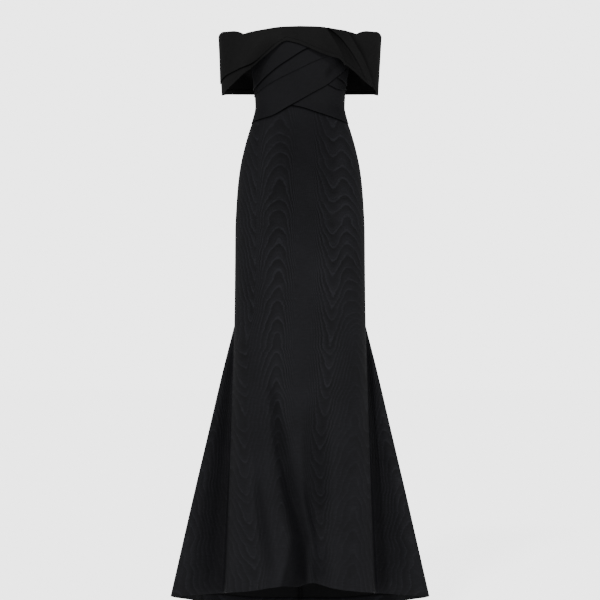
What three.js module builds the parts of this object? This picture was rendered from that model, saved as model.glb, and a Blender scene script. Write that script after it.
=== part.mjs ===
import * as THREE from "three";

// Trumpet gown with an off-the-shoulder fold-over band, filled out and hollow.
// Millimetres, +Z up. The front faces -Y and the origin is the centre of the waist.
//
// A place on the body is a turn and a height. The turn is 0 at the centre front,
// 1 at the side seam on +X, -1 at the one on -X, and 2 or -2 at the centre back.

// Cloth and seams
const cloth = 1.5;
const seamGap = 0.3;
const layerStep = cloth + 0.6;
const skirtTuck = 8;
const overlap = 12;
const tuckStart = 2;

// Pleat heights over the cloth that they lie on
const crispPleat = 2.8;
const faintPleat = 1.2;
const tuckPleat = 2.8;
const lowTuckPleat = 1.8;
const stepRise = 0.4;

// Band
const rollRadius = 2.5;
const returnDepth = 22;
const bandTopZ = 190;
const bandLowZ = 40;

// Zip tape inside the centre back
const zipWidth = 24;
const zipTape = 1;
const zipTopZ = 168;
const zipLowZ = -180;
const zipGap = 1;
const zipStep = { from: 12, to: 40 };

// Body form: inner face of the skirt cloth, half width, depths and fullness of the section
const bodyForm = [
  { z: -520, half: 167.3, front: 104, back: 105, round: 0.15 },
  { z: -424, half: 167.2, front: 105, back: 108, round: 0.15 },
  { z: -320, half: 166.6, front: 107, back: 116, round: 0.16 },
  { z: -268, half: 164.3, front: 106, back: 120, round: 0.17 },
  { z: -216, half: 160.7, front: 104, back: 121, round: 0.18 },
  { z: -164, half: 154.6, front: 100, back: 117, round: 0.2 },
  { z: -112, half: 143.7, front: 95, back: 107, round: 0.22 },
  { z: -62, half: 129.4, front: 89, back: 91, round: 0.24 },
  { z: -31, half: 118.8, front: 85, back: 82, round: 0.25 },
  { z: 0, half: 112.7, front: 82, back: 77, round: 0.26 },
  { z: 31, half: 114, front: 86, back: 77, round: 0.3 },
  { z: 63, half: 115.6, front: 95, back: 79, round: 0.34 },
  { z: 100, half: 122.6, front: 107, back: 83, round: 0.36 },
  { z: 135, half: 126.8, front: 109, back: 86, round: 0.36 },
  { z: 180, half: 126.3, front: 99, back: 87, round: 0.3 },
];

// Hem outline: plan place and height by turn, with the valley behind each side seam,
// the outer fold of the flare and the short train
const hemPlan = [
  { turn: 0, x: 0, y: -158, z: -1226 },
  { turn: 0.1, x: 19, y: -157.5, z: -1223 },
  { turn: 0.2, x: 38, y: -156, z: -1221 },
  { turn: 0.35, x: 68, y: -151, z: -1226 },
  { turn: 0.5, x: 98, y: -141, z: -1232 },
  { turn: 0.7, x: 136, y: -120, z: -1240 },
  { turn: 1, x: 187, y: -66, z: -1252 },
  { turn: 1.06, x: 191, y: -36, z: -1258 },
  { turn: 1.12, x: 194, y: 0, z: -1263.5 },
  { turn: 1.18, x: 197, y: 36, z: -1270 },
  { turn: 1.24, x: 207, y: 58, z: -1274 },
  { turn: 1.3, x: 230, y: 55, z: -1274.5 },
  { turn: 1.38, x: 268, y: 41, z: -1275 },
  { turn: 1.45, x: 302, y: 28, z: -1275.5 },
  { turn: 1.49, x: 322, y: 26, z: -1277 },
  { turn: 1.52, x: 335.5, y: 44, z: -1280 },
  { turn: 1.57, x: 329, y: 72, z: -1289 },
  { turn: 1.65, x: 300, y: 124, z: -1304 },
  { turn: 1.76, x: 240, y: 200, z: -1328 },
  { turn: 1.88, x: 130, y: 272, z: -1350 },
  { turn: 2, x: 0, y: 300, z: -1360 },
];

// How far the skirt has opened from the straight column to the hem outline
const flare = [
  { z: -1366, open: 1.134 },
  { z: -1266, open: 1 },
  { z: -1022, open: 0.677 },
  { z: -762, open: 0.324 },
  { z: -606, open: 0.122 },
  { z: -554, open: 0.078 },
  { z: -502, open: 0.045 },
  { z: -450, open: 0.02 },
  { z: -400, open: 0 },
];

// Place of the side of the column from which each turn of the back flare falls
const godet = [
  { turn: 1, angle: 0 },
  { turn: 1.24, angle: 12 },
  { turn: 1.52, angle: 14 },
  { turn: 2, angle: 90 },
];
const godetTopZ = -300;
const godetLowZ = -700;

// Troughs of the front by height, with a width on each side of the deepest line: the crease,
// which starts off to the -X side and ends in the middle of the hem, and three faint ones
const creaseTrough = [
  { z: -1240, x: 25, depth: 60, width: 54, farWidth: 62 },
  { z: -1133, x: 19, depth: 45, width: 50, farWidth: 66 },
  { z: -1082, x: 8, depth: 34, width: 41, farWidth: 66 },
  { z: -994, x: -20, depth: 24, width: 33, farWidth: 60 },
  { z: -918, x: -40, depth: 16, width: 26, farWidth: 50 },
  { z: -842, x: -58, depth: 10, width: 20, farWidth: 38 },
  { z: -779, x: -67, depth: 5, width: 18, farWidth: 28 },
  { z: -730, x: -71, depth: 0, width: 18, farWidth: 24 },
];
const middleTrough = [
  { z: -1240, x: 72, depth: 8, width: 30, farWidth: 44 },
  { z: -1100, x: 64, depth: 7, width: 28, farWidth: 40 },
  { z: -960, x: 52, depth: 4, width: 26, farWidth: 36 },
  { z: -860, x: 50, depth: 0, width: 26, farWidth: 32 },
];
const leftTrough = [
  { z: -1250, x: -84, depth: 5, width: 20, farWidth: 34 },
  { z: -1140, x: -90, depth: 9, width: 18, farWidth: 36 },
  { z: -1000, x: -106, depth: 8, width: 15, farWidth: 34 },
  { z: -900, x: -118, depth: 4, width: 15, farWidth: 30 },
  { z: -800, x: -124, depth: 0, width: 15, farWidth: 26 },
];
const rightTrough = [
  { z: -1250, x: 134, depth: 4, width: 26, farWidth: 26 },
  { z: -1120, x: 133, depth: 6, width: 26, farWidth: 26 },
  { z: -1000, x: 125, depth: 4, width: 26, farWidth: 26 },
  { z: -860, x: 120, depth: 0, width: 26, farWidth: 26 },
];

// Soft folds that hang in the train, between the outer fold and the centre back
const trainFolds = { from: 1.52, to: 2, count: 2, depth: 22, centreY: 60 };

// Heights of the bodice's lines by turn: the folded lower edge and two pleats of the panel
// that crosses over, the edges of the panel under it with its two tucks, and the top edge
const overEdge = [
  { turn: -1, z: -45 },
  { turn: -0.45, z: -32.5 },
  { turn: -0.135, z: -4.4 },
  { turn: 0.137, z: 24 },
  { turn: 0.41, z: 50.8 },
  { turn: 0.56, z: 68.8 },
  { turn: 0.78, z: 95.4 },
  { turn: 1, z: 118 },
];
const faintLine = [
  { turn: -1, z: 25 },
  { turn: -0.72, z: 33.8 },
  { turn: -0.46, z: 51.2 },
  { turn: -0.13, z: 77.7 },
  { turn: 0.04, z: 91.8 },
  { turn: 0.24, z: 108.4 },
  { turn: 0.37, z: 117.5 },
  { turn: 0.7, z: 127 },
  { turn: 1, z: 126 },
];
const crispLine = [
  { turn: -1, z: 41 },
  { turn: -0.84, z: 44.8 },
  { turn: -0.7, z: 52.3 },
  { turn: -0.55, z: 66.3 },
  { turn: -0.41, z: 80.9 },
  { turn: -0.17, z: 106.2 },
  { turn: 0.11, z: 137.6 },
  { turn: 0.4, z: 150 },
  { turn: 0.7, z: 145 },
  { turn: 1, z: 132 },
];
const underEdge = [
  { turn: -0.19, z: -3.4 },
  { turn: -0.04, z: -6.7 },
  { turn: 0.27, z: -23.4 },
  { turn: 0.54, z: -36.5 },
  { turn: 0.78, z: -44 },
  { turn: 1, z: -45 },
];
const upperTuck = [
  { turn: 0.58, z: 69 },
  { turn: 0.66, z: 64.3 },
  { turn: 0.75, z: 60.8 },
  { turn: 0.86, z: 56.1 },
  { turn: 1, z: 54 },
];
const lowerTuck = [
  { turn: 0.41, z: 50 },
  { turn: 0.49, z: 44.8 },
  { turn: 0.6, z: 39.7 },
  { turn: 0.67, z: 39.4 },
  { turn: 0.81, z: 41.9 },
  { turn: 1, z: 43 },
];
const bodiceTop = [
  { turn: 0, z: 176 },
  { turn: 0.25, z: 173 },
  { turn: 0.5, z: 164 },
  { turn: 0.8, z: 147 },
  { turn: 1, z: 138 },
  { turn: 1.3, z: 150 },
  { turn: 1.6, z: 167 },
  { turn: 2, z: 173 },
];
const bodiceBackZ = -45;
const crossTurn = -0.135;
const underFrom = -0.18;
const overLift = { from: -0.34, full: -0.2, keptTo: 20, goneBy: 44 };
const pleatFade = { from: 0.35, to: 0.8, share: 0.7 };
const tuckReach = { upper: 7, lower: 3 };

// Band plan by turn, at its top edge and near its hem: it leaves the body for the arms,
// which end at turn 1, and comes back to the body behind
const bandPlan = [
  { turn: 0, topX: 0, topY: -105.5, lowX: 0, lowY: -150 },
  { turn: 0.2, topX: 45, topY: -104.5, lowX: 46, lowY: -148 },
  { turn: 0.4, topX: 92, topY: -95, lowX: 94, lowY: -135 },
  { turn: 0.6, topX: 135, topY: -80, lowX: 136, lowY: -112 },
  { turn: 0.75, topX: 166, topY: -68, lowX: 163, lowY: -90 },
  { turn: 0.88, topX: 194, topY: -50, lowX: 188, lowY: -63 },
  { turn: 0.95, topX: 207, topY: -34, lowX: 199.5, lowY: -43 },
  { turn: 1, topX: 212.5, topY: -13, lowX: 203.5, lowY: -20 },
  { turn: 1.06, topX: 210, topY: 9, lowX: 201.5, lowY: 4 },
  { turn: 1.16, topX: 197, topY: 32, lowX: 190, lowY: 32 },
  { turn: 1.3, topX: 168, topY: 52, lowX: 166, lowY: 60 },
  { turn: 1.5, topX: 122, topY: 70, lowX: 122, lowY: 84 },
  { turn: 1.75, topX: 65, topY: 90, lowX: 65, lowY: 104 },
  { turn: 2, topX: 0, topY: 95.5, lowX: 0, lowY: 112 },
];

// Height of the band's rolled top edge, with a notch where the arm meets the neckline
const bandTop = [
  { turn: 0, z: 194.8 },
  { turn: 0.2, z: 193.4 },
  { turn: 0.42, z: 187.4 },
  { turn: 0.59, z: 182 },
  { turn: 0.645, z: 179 },
  { turn: 0.69, z: 183.4 },
  { turn: 0.73, z: 186.1 },
  { turn: 0.78, z: 188 },
  { turn: 0.86, z: 188.2 },
  { turn: 0.91, z: 189 },
  { turn: 0.955, z: 186 },
  { turn: 1, z: 181 },
  { turn: 1.05, z: 184 },
  { turn: 1.12, z: 188 },
  { turn: 1.4, z: 190 },
  { turn: 2, z: 187 },
];

// Height of the band's free edge: slanted across the front, level behind
const bandFree = [
  { turn: -2, z: 43 },
  { turn: -1.5, z: 41 },
  { turn: -1.3, z: 38.5 },
  { turn: -1.15, z: 35 },
  { turn: -1, z: 27 },
  { turn: -0.96, z: 25.7 },
  { turn: -0.91, z: 33.2 },
  { turn: -0.73, z: 60.5 },
  { turn: -0.56, z: 86.8 },
  { turn: -0.37, z: 119.5 },
  { turn: -0.28, z: 137 },
  { turn: -0.19, z: 152.8 },
  { turn: -0.15, z: 155.6 },
  { turn: -0.09, z: 152.6 },
  { turn: 0, z: 146.6 },
  { turn: 0.1, z: 136.6 },
  { turn: 0.21, z: 125.2 },
  { turn: 0.32, z: 115.5 },
  { turn: 0.42, z: 109.6 },
  { turn: 0.47, z: 99.5 },
  { turn: 0.6, z: 79.6 },
  { turn: 0.82, z: 47.8 },
  { turn: 0.91, z: 34.8 },
  { turn: 0.955, z: 26 },
  { turn: 1, z: 27 },
  { turn: 1.15, z: 35 },
  { turn: 1.3, z: 38.5 },
  { turn: 1.5, z: 41 },
  { turn: 2, z: 43 },
];

// Height of the pleat that lies above the free edge on the -X arm, and how far it stands out
const cuffLine = [
  { turn: -1, z: 57, rise: 2 },
  { turn: -0.94, z: 64.6, rise: 2 },
  { turn: -0.88, z: 73, rise: 2 },
  { turn: -0.73, z: 84.8, rise: 2.2 },
  { turn: -0.56, z: 98.4, rise: 2.2 },
  { turn: -0.49, z: 106.4, rise: 2 },
  { turn: -0.41, z: 121, rise: 1.4 },
  { turn: -0.28, z: 147, rise: 1.2 },
  { turn: -0.2, z: 158, rise: 0.8 },
  { turn: -0.12, z: 164, rise: 0 },
];
const cuffStrip = 9;
const cuffKept = 3;
const cuffEnd = { from: -0.26, kept: -0.15, to: -0.12 };

// How far down the flap the slanted folds are measured at the strip's top and under the roll
const foldPlace = { strip: 0.9, roll: 0.02 };

// Slanted folds of the band front: turn and rise at the top edge and at the free edge.
// Two rows close together are a folded edge; steps is the number of columns to the next row
const bandFolds = [
  { top: -1, low: -1, topRise: 0, lowRise: 0, steps: 12 },
  { top: -0.2, low: -0.15, topRise: 0, lowRise: 0, steps: 7 },
  { top: 0.277, low: 0.502, topRise: 6, lowRise: 4.6, steps: 1 },
  { top: 0.28, low: 0.506, topRise: 4, lowRise: 2.6, steps: 2 },
  { top: 0.308, low: 0.748, topRise: 0, lowRise: 0, steps: 1 },
  { top: 0.311, low: 0.752, topRise: 3, lowRise: 0.8, steps: 4 },
  { top: 0.505, low: 0.885, topRise: 8, lowRise: 5, steps: 1 },
  { top: 0.508, low: 0.889, topRise: 6, lowRise: 3.2, steps: 1 },
  { top: 0.55, low: 0.91, topRise: 2.4, lowRise: 1.6, steps: 1 },
  { top: 0.62, low: 0.935, topRise: 0.5, lowRise: 0.5, steps: 1 },
  { top: 0.71, low: 0.955, topRise: 0, lowRise: 0, steps: 3 },
  { top: 1, low: 1, topRise: 0, lowRise: 0, steps: 0 },
];
const bandHollow = { topTurn: -0.24, lowTurn: -0.56, lowZ: 95, width: 0.15, depth: 6, fade: 26 };

// Numbers of columns and rows in each wall
const rowCounts = {
  skirt: 24,
  over: 4,
  under: 3,
  back: 8,
  zip: 12,
  bandStrip: 2,
  bandFlap: 5,
  bandRoll: 4,
  bandInside: 2,
};
const columnCounts = { flare: 8, train: 12, zip: 4 };
const skirtRowBias = 1.25;
const bandBackTurns = [1, 1.03, 1.06, 1.11, 1.16, 1.22, 1.3, 1.4, 1.5, 1.62, 1.75, 1.88, 2];

const colours = { faille: 0x1c1c1e, moire: 0x1d1d1f, zip: 0x141416 };

// A smooth curve through a table's rows that never overshoots them, held level past its ends
function curve(table, key, column) {
  const rows = [...table].sort((a, b) => a[key] - b[key]);
  const places = rows.map((row) => row[key]);
  const values = rows.map((row) => row[column]);
  const last = rows.length - 1;
  const slopes = values.slice(1).map((v, i) => (v - values[i]) / (places[i + 1] - places[i]));
  const tangents = values.map((_, i) => {
    if (i === 0) return slopes[0];
    if (i === last) return slopes[last - 1];
    const [before, after] = [slopes[i - 1], slopes[i]];
    return before * after <= 0 ? 0 : (2 * before * after) / (before + after);
  });
  return (place) => {
    if (place <= places[0]) return values[0];
    if (place >= places[last]) return values[last];
    const i = places.findIndex((p, k) => place >= p && place <= places[k + 1]);
    const span = places[i + 1] - places[i];
    const t = (place - places[i]) / span;
    const rise = t * t * (3 - 2 * t);
    const bend = tangents[i] * t * (1 - t) * (1 - t) - tangents[i + 1] * t * t * (1 - t);
    return values[i] * (1 - rise) + values[i + 1] * rise + span * bend;
  };
}

const mix = THREE.MathUtils.lerp;
const ease = THREE.MathUtils.smoothstep;
const clamp = THREE.MathUtils.clamp;
const radians = THREE.MathUtils.degToRad;
const range = (count, from, to) =>
  Array.from({ length: count + 1 }, (_, i) => mix(from, to, i / count));

const form = {
  half: curve(bodyForm, "z", "half"),
  front: curve(bodyForm, "z", "front"),
  back: curve(bodyForm, "z", "back"),
  round: curve(bodyForm, "z", "round"),
};
const hem = {
  x: curve(hemPlan, "turn", "x"),
  y: curve(hemPlan, "turn", "y"),
  z: curve(hemPlan, "turn", "z"),
};
const openAt = curve(flare, "z", "open");
const godetAngle = curve(godet, "turn", "angle");
const line = {
  over: curve(overEdge, "turn", "z"),
  faint: curve(faintLine, "turn", "z"),
  crisp: curve(crispLine, "turn", "z"),
  under: curve(underEdge, "turn", "z"),
  upperTuck: curve(upperTuck, "turn", "z"),
  lowerTuck: curve(lowerTuck, "turn", "z"),
  top: curve(bodiceTop, "turn", "z"),
};
const band = {
  topX: curve(bandPlan, "turn", "topX"),
  topY: curve(bandPlan, "turn", "topY"),
  lowX: curve(bandPlan, "turn", "lowX"),
  lowY: curve(bandPlan, "turn", "lowY"),
  top: curve(bandTop, "turn", "z"),
  free: curve(bandFree, "turn", "z"),
  cuff: curve(cuffLine, "turn", "z"),
  cuffRise: curve(cuffLine, "turn", "rise"),
};
const troughs = [creaseTrough, middleTrough, leftTrough, rightTrough].map((rows) => ({
  x: curve(rows, "z", "x"),
  depth: curve(rows, "z", "depth"),
  width: curve(rows, "z", "width"),
  farWidth: curve(rows, "z", "farWidth"),
}));

const creaseX = curve(creaseTrough, "z", "x");

// A soft bell, 1 at the middle and 0 from the width outwards
const bell = (distance, width) =>
  Math.cos((Math.PI / 2) * Math.min(1, Math.abs(distance) / width)) ** 2;

// A turn past the centre back is the place that faces it on the other side
function unwrap(turn) {
  const side = Math.abs(turn);
  return side > 2 ? { side: 4 - side, sign: -Math.sign(turn) } : { side, sign: Math.sign(turn) };
}

// The body's section at a height, with the back measured by its own angle from the side
function bodyPoint(turn, z, backAngle = (Math.abs(turn) - 1) * 90) {
  const front = Math.abs(turn) <= 1;
  const angle = radians(front ? turn * 90 : Math.sign(turn) * (90 + backAngle));
  const depth = front ? form.front(z) : form.back(z);
  const fullness = 1 + form.round(z) * Math.sin(angle) ** 2;
  const y = -depth * Math.cos(angle) * fullness;
  return new THREE.Vector3(form.half(z) * Math.sin(angle), y, z);
}

// The skirt: the body down to the knee, then straight lines that open out to the hem
function skirtPoint(turn, z) {
  const { side, sign } = unwrap(turn);
  const even = Math.max(0, side - 1) * 90;
  const gather = ease(-z, -godetTopZ, -godetLowZ);
  const column = bodyPoint(sign * side, z, mix(even, godetAngle(side), gather));
  const open = openAt(z);
  const point = new THREE.Vector3(
    mix(column.x, sign * hem.x(side), open),
    mix(column.y, hem.y(side), open),
    z,
  );
  if (side < 1) {
    for (const trough of troughs) {
      const aside = point.x - trough.x(z);
      point.y += trough.depth(z) * bell(aside, aside < 0 ? trough.width(z) : trough.farWidth(z));
    }
    return point;
  }
  const { from, to, count, depth, centreY } = trainFolds;
  const place = (count * Math.max(0, side - from)) / (to - from);
  const inward = (depth * open * (1 - Math.cos(2 * Math.PI * place))) / 2;
  const spoke = new THREE.Vector3(point.x, point.y - centreY, 0).normalize();
  return point.addScaledVector(spoke, -inward);
}

// The band's outer face: straight lines from its top edge down to its hem
function bandPoint(turn, z) {
  const { side, sign } = unwrap(turn);
  const down = (bandTopZ - z) / (bandTopZ - bandLowZ);
  return new THREE.Vector3(
    sign * mix(band.topX(side), band.lowX(side), down),
    mix(band.topY(side), band.lowY(side), down),
    z,
  );
}

// A surface's point with the direction along the turn and the one that faces out
const nearby = { turn: 0.002, z: 0.5 };
function frameAt(surface, turn, z, level = false) {
  const point = surface(turn, z);
  const along = surface(turn + nearby.turn, z).sub(surface(turn - nearby.turn, z)).normalize();
  const up = surface(turn, z + nearby.z).sub(surface(turn, z - nearby.z)).normalize();
  const out = along.clone().cross(level ? new THREE.Vector3(0, 0, 1) : up).normalize();
  return { point, along, out };
}

// A closed cloth wall from two grids of points, rows from the lower edge up
function wallMesh(name, colour, outer, inner) {
  const rows = outer.length;
  const columns = outer[0].length;
  const index = [];
  const at = (face, r, c) => (face * rows + r) * columns + c;
  const quad = (a, b, c, d) => index.push(a, b, c, a, c, d);
  for (let r = 0; r < rows - 1; r++) {
    for (let c = 0; c < columns - 1; c++) {
      quad(at(0, r, c), at(0, r, c + 1), at(0, r + 1, c + 1), at(0, r + 1, c));
      quad(at(1, r, c), at(1, r + 1, c), at(1, r + 1, c + 1), at(1, r, c + 1));
    }
    const end = columns - 1;
    quad(at(0, r, 0), at(0, r + 1, 0), at(1, r + 1, 0), at(1, r, 0));
    quad(at(1, r, end), at(1, r + 1, end), at(0, r + 1, end), at(0, r, end));
  }
  for (let c = 0; c < columns - 1; c++) {
    const top = rows - 1;
    quad(at(1, 0, c), at(1, 0, c + 1), at(0, 0, c + 1), at(0, 0, c));
    quad(at(0, top, c), at(0, top, c + 1), at(1, top, c + 1), at(1, top, c));
  }
  const places = [...outer.flat(), ...inner.flat()].flatMap((p) => p.toArray());
  const geometry = new THREE.BufferGeometry()
    .setAttribute("position", new THREE.Float32BufferAttribute(places, 3))
    .setIndex(index);
  geometry.computeVertexNormals();
  const finish = new THREE.MeshStandardMaterial({ color: colour, roughness: 0.6, metalness: 0 });
  const mesh = new THREE.Mesh(geometry, finish);
  mesh.name = name;
  return mesh;
}

// A panel: each row gives, for a column, the height and offset of the wall's two faces.
// The first and last columns stand back by half the seam gap
function panel(name, colour, surface, columns, rows, level = false) {
  const side = (row, c, face) => {
    const { turn, outer, inner } = row(columns[c]);
    const spot = face === "outer" ? outer : inner;
    const { point, along, out } = frameAt(surface, turn, spot.z, level);
    const shift = c === 0 ? seamGap / 2 : c === columns.length - 1 ? -seamGap / 2 : 0;
    return point.addScaledVector(out, spot.offset).addScaledVector(along, shift);
  };
  const grid = (face) => rows.map((row) => columns.map((_, c) => side(row, c, face)));
  return wallMesh(name, colour, grid("outer"), grid("inner"));
}

// A row of a plain wall of cloth at a height, lifted off the surface and raised by a pleat
const clothRow = (height, lift, rise = () => 0) => (turn) => {
  const z = height(turn);
  const base = lift(turn, z);
  return {
    turn,
    outer: { z, offset: base + cloth + rise(turn, z) },
    inner: { z, offset: base },
  };
};

// Lower edge of the bodice by turn, as it shows over the skirt
function bodiceEdge(turn) {
  if (Math.abs(turn) > 1) return bodiceBackZ;
  return turn < crossTurn ? line.over(turn) : line.under(turn);
}

// The front's columns lean to follow the crease, each side evenly, and are upright above it
function leanTurn(turn, z) {
  if (Math.abs(turn) > 1) return turn;
  const width = mix(form.half(z), hem.x(1), openAt(z));
  const top = creaseTrough.at(-1);
  const start = Math.asin(top.x / form.half(top.z));
  const now = z > top.z ? start : Math.asin(creaseX(z) / width);
  const [from, to] = [start, now].map((angle) => angle / (Math.PI / 2));
  return turn < from
    ? mix(-1, to, (turn + 1) / (from + 1))
    : mix(to, 1, (turn - from) / (1 - from));
}

function skirtPanel(name, columns) {
  const rows = [...range(rowCounts.skirt, 1, 0), "tuck"].map((share) => (column) => {
    const height = (turn) =>
      share === "tuck"
        ? bodiceEdge(turn) + skirtTuck
        : mix(bodiceEdge(turn), hem.z(Math.abs(turn)), share ** skirtRowBias);
    const turn = leanTurn(column, height(column));
    return clothRow(height, () => 0)(turn);
  });
  return panel(name, colours.moire, skirtPoint, columns, rows);
}

// Columns of the front panels, closest together over the crease
const frontTurns = [
  ...range(6, -1, -0.4),
  ...range(12, -0.4, -0.12).slice(1),
  ...range(6, -0.12, 0.2).slice(1),
  ...range(10, 0.2, 1).slice(1),
];
const underTurns = frontTurns.filter((turn) => turn > underFrom);

// The columns of a back panel on the +X side, or mirrored and in order for the -X side
const backTurns = [
  ...range(columnCounts.flare, 1, trainFolds.from),
  ...range(columnCounts.train, trainFolds.from, trainFolds.to).slice(1),
];
function backColumns(side, columns = backTurns) {
  return side > 0 ? columns : columns.map((turn) => -turn).reverse();
}

function skirtBack(name, side) {
  return skirtPanel(name, backColumns(side));
}

// Rows of pleated strips, from the lower line to the upper one. Each strip after the first
// lies over the one below: its folded lower edge stands out and its rise fades upwards
function stripes(lines, rises, lift, count) {
  return lines.slice(1).flatMap((upper, i) => {
    const lower = lines[i];
    return range(count, 0, 1).map((t) => {
      const drop = t === 1 && i < lines.length - 2 ? stepRise : 0;
      const height = (turn) => mix(lower(turn), upper(turn), t) - drop;
      return clothRow(height, lift, (turn, z) => rises[i](turn, z) * (1 - t));
    });
  });
}

// The panel that crosses over the front, lifted where it lies on the under panel
function bodiceOver() {
  const lift = (turn, z) => {
    const across = ease(turn, overLift.from, overLift.full);
    const above = ease(z - line.over(turn), overLift.keptTo, overLift.goneBy);
    return layerStep * (1 + across * (1 - above));
  };
  const narrow = (turn) => 1 - pleatFade.share * ease(turn, pleatFade.from, pleatFade.to);
  const rises = [
    () => 0,
    (turn) => faintPleat * narrow(turn),
    (turn) => crispPleat * narrow(turn),
  ];
  const lines = [line.over, line.faint, line.crisp, line.top];
  const rows = stripes(lines, rises, lift, rowCounts.over);
  return panel("bodice_over", colours.faille, bodyPoint, frontTurns, rows);
}

// The panel under it, with two tucks at the +X side that run in under the upper one
function bodiceUnder() {
  const clear = (turn, z) => clamp((line.over(turn) - tuckStart - z) / overlap, 0, 1);
  const top = (turn) => line.over(turn) + overlap;
  const tuck = (height, from, above) => (turn) =>
    turn < from ? line.over(turn) + above : Math.min(height(turn), line.over(turn) + above);
  const upper = tuck(line.upperTuck, upperTuck[0].turn, tuckReach.upper);
  const lower = tuck(line.lowerTuck, lowerTuck[0].turn, tuckReach.lower);
  const rise = (height) => (turn, z) => height * clear(turn, z);
  const rises = [() => 0, rise(lowTuckPleat), rise(tuckPleat)];
  const rows = stripes([line.under, lower, upper, top], rises, () => layerStep, rowCounts.under);
  return panel("bodice_under", colours.faille, bodyPoint, underTurns, rows);
}

function bodiceBack(name, side) {
  const height = (t) => (turn) => mix(bodiceBackZ, line.top(Math.abs(turn)), t);
  const rows = range(rowCounts.back, 0, 1).map((t) => clothRow(height(t), () => layerStep));
  return panel(name, colours.faille, bodyPoint, backColumns(side), rows);
}

// Rows of the band: up the outer flap, over the rolled top and down the inner return.
// place(column, down) gives the turn there and the rise of its slanted folds
function bandRows(place) {
  const hollow = (turn, z) => {
    const { topTurn, lowTurn, lowZ, width, depth, fade } = bandHollow;
    const middle = mix(lowTurn, topTurn, clamp((z - lowZ) / (bandTopZ - lowZ), 0, 1));
    const kept = ease(z, lowZ - fade, lowZ) * (1 - ease(z, bandTopZ - 2 * fade, bandTopZ - fade / 2));
    return depth * bell(turn - middle, width) * kept;
  };
  const cuffZ = (turn) => {
    const plain = band.free(turn) + cuffStrip;
    if (turn >= cuffEnd.kept) return plain;
    const pleat = Math.max(band.cuff(turn), band.free(turn) + cuffKept);
    return mix(pleat, plain, ease(turn, cuffEnd.from, cuffEnd.to));
  };
  const flapTop = (turn) => band.top(Math.abs(turn)) - rollRadius;
  const flap = (down, height, cuffShare) => (column) => {
    const { turn, rise } = place(column, down);
    const z = height(turn);
    const shift = -hollow(turn, z);
    const cuff = Math.abs(turn) <= 1 ? band.cuffRise(turn) * cuffShare : 0;
    return {
      turn,
      outer: { z, offset: shift + rise + cuff },
      inner: { z, offset: shift - cloth },
    };
  };
  const strip = range(rowCounts.bandStrip, 0, 1).map((t) => {
    const drop = t === 1 ? stepRise : 0;
    const height = (turn) => mix(band.free(turn), cuffZ(turn) - drop, t);
    return flap(mix(1, foldPlace.strip, t), height, 0);
  });
  const upper = range(rowCounts.bandFlap, 0, 1).map((t) => {
    const height = (turn) => mix(cuffZ(turn), flapTop(turn), t);
    return flap(mix(foldPlace.strip, foldPlace.roll, t), height, 1 - t);
  });
  const roll = range(rowCounts.bandRoll, 0, Math.PI).slice(1).map((angle) => (column) => {
    const { turn, rise } = place(column, 0);
    const spot = (radius, extra) => ({
      z: flapTop(turn) + radius * Math.sin(angle),
      offset: -rollRadius + radius * Math.cos(angle) + extra,
    });
    const kept = rise * Math.max(0, Math.cos(angle));
    return { turn, outer: spot(rollRadius, kept), inner: spot(rollRadius - cloth, 0) };
  });
  const inside = range(rowCounts.bandInside, 0, 1).slice(1).map((t) => (column) => {
    const { turn } = place(column, 0);
    const z = flapTop(turn) - t * returnDepth;
    const face = -2 * rollRadius;
    return { turn, outer: { z, offset: face }, inner: { z, offset: face + cloth } };
  });
  return [...strip, ...upper, ...roll, ...inside];
}

function bandFront() {
  const columns = bandFolds.slice(0, -1).flatMap((fold, i) => {
    const next = bandFolds[i + 1];
    return Array.from({ length: fold.steps }, (_, k) => ({ fold, next, t: k / fold.steps }));
  });
  columns.push({ fold: bandFolds.at(-1), next: bandFolds.at(-1), t: 0 });
  const place = ({ fold, next, t }, down) => {
    const between = (top, low) =>
      mix(mix(fold[top], next[top], t), mix(fold[low], next[low], t), down);
    return { turn: between("top", "low"), rise: between("topRise", "lowRise") };
  };
  return panel("band_front", colours.faille, bandPoint, columns, bandRows(place), true);
}

function bandBack(name, side) {
  const place = (turn) => ({ turn, rise: 0 });
  const columns = backColumns(side, bandBackTurns);
  return panel(name, colours.faille, bandPoint, columns, bandRows(place), true);
}

// The zip's tape inside the centre back, behind the seam of the skirt and of the bodice
function backZip() {
  const rows = range(rowCounts.zip, zipLowZ, zipTopZ).map((z) => {
    const above = ease(z - bodiceBackZ, zipStep.from, zipStep.to);
    const face = mix(-zipGap, layerStep - zipGap, above);
    return (x) => {
      const turn = 2 - (2 / Math.PI) * Math.asin(x / form.half(z));
      return { turn, outer: { z, offset: face }, inner: { z, offset: face - zipTape } };
    };
  });
  const columns = range(columnCounts.zip, zipWidth / 2, -zipWidth / 2);
  return panel("back_zip", colours.zip, bodyPoint, columns, rows);
}

const gown = new THREE.Group();
gown.add(
  skirtPanel("skirt_front", frontTurns),
  skirtBack("skirt_back_right", 1),
  skirtBack("skirt_back_left", -1),
  bodiceOver(),
  bodiceUnder(),
  bodiceBack("bodice_back_right", 1),
  bodiceBack("bodice_back_left", -1),
  bandFront(),
  bandBack("band_back_right", 1),
  bandBack("band_back_left", -1),
  backZip(),
);

export default gown;
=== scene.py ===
import math

import bmesh
import bpy
import numpy as np
from mathutils import Matrix, Vector


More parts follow.
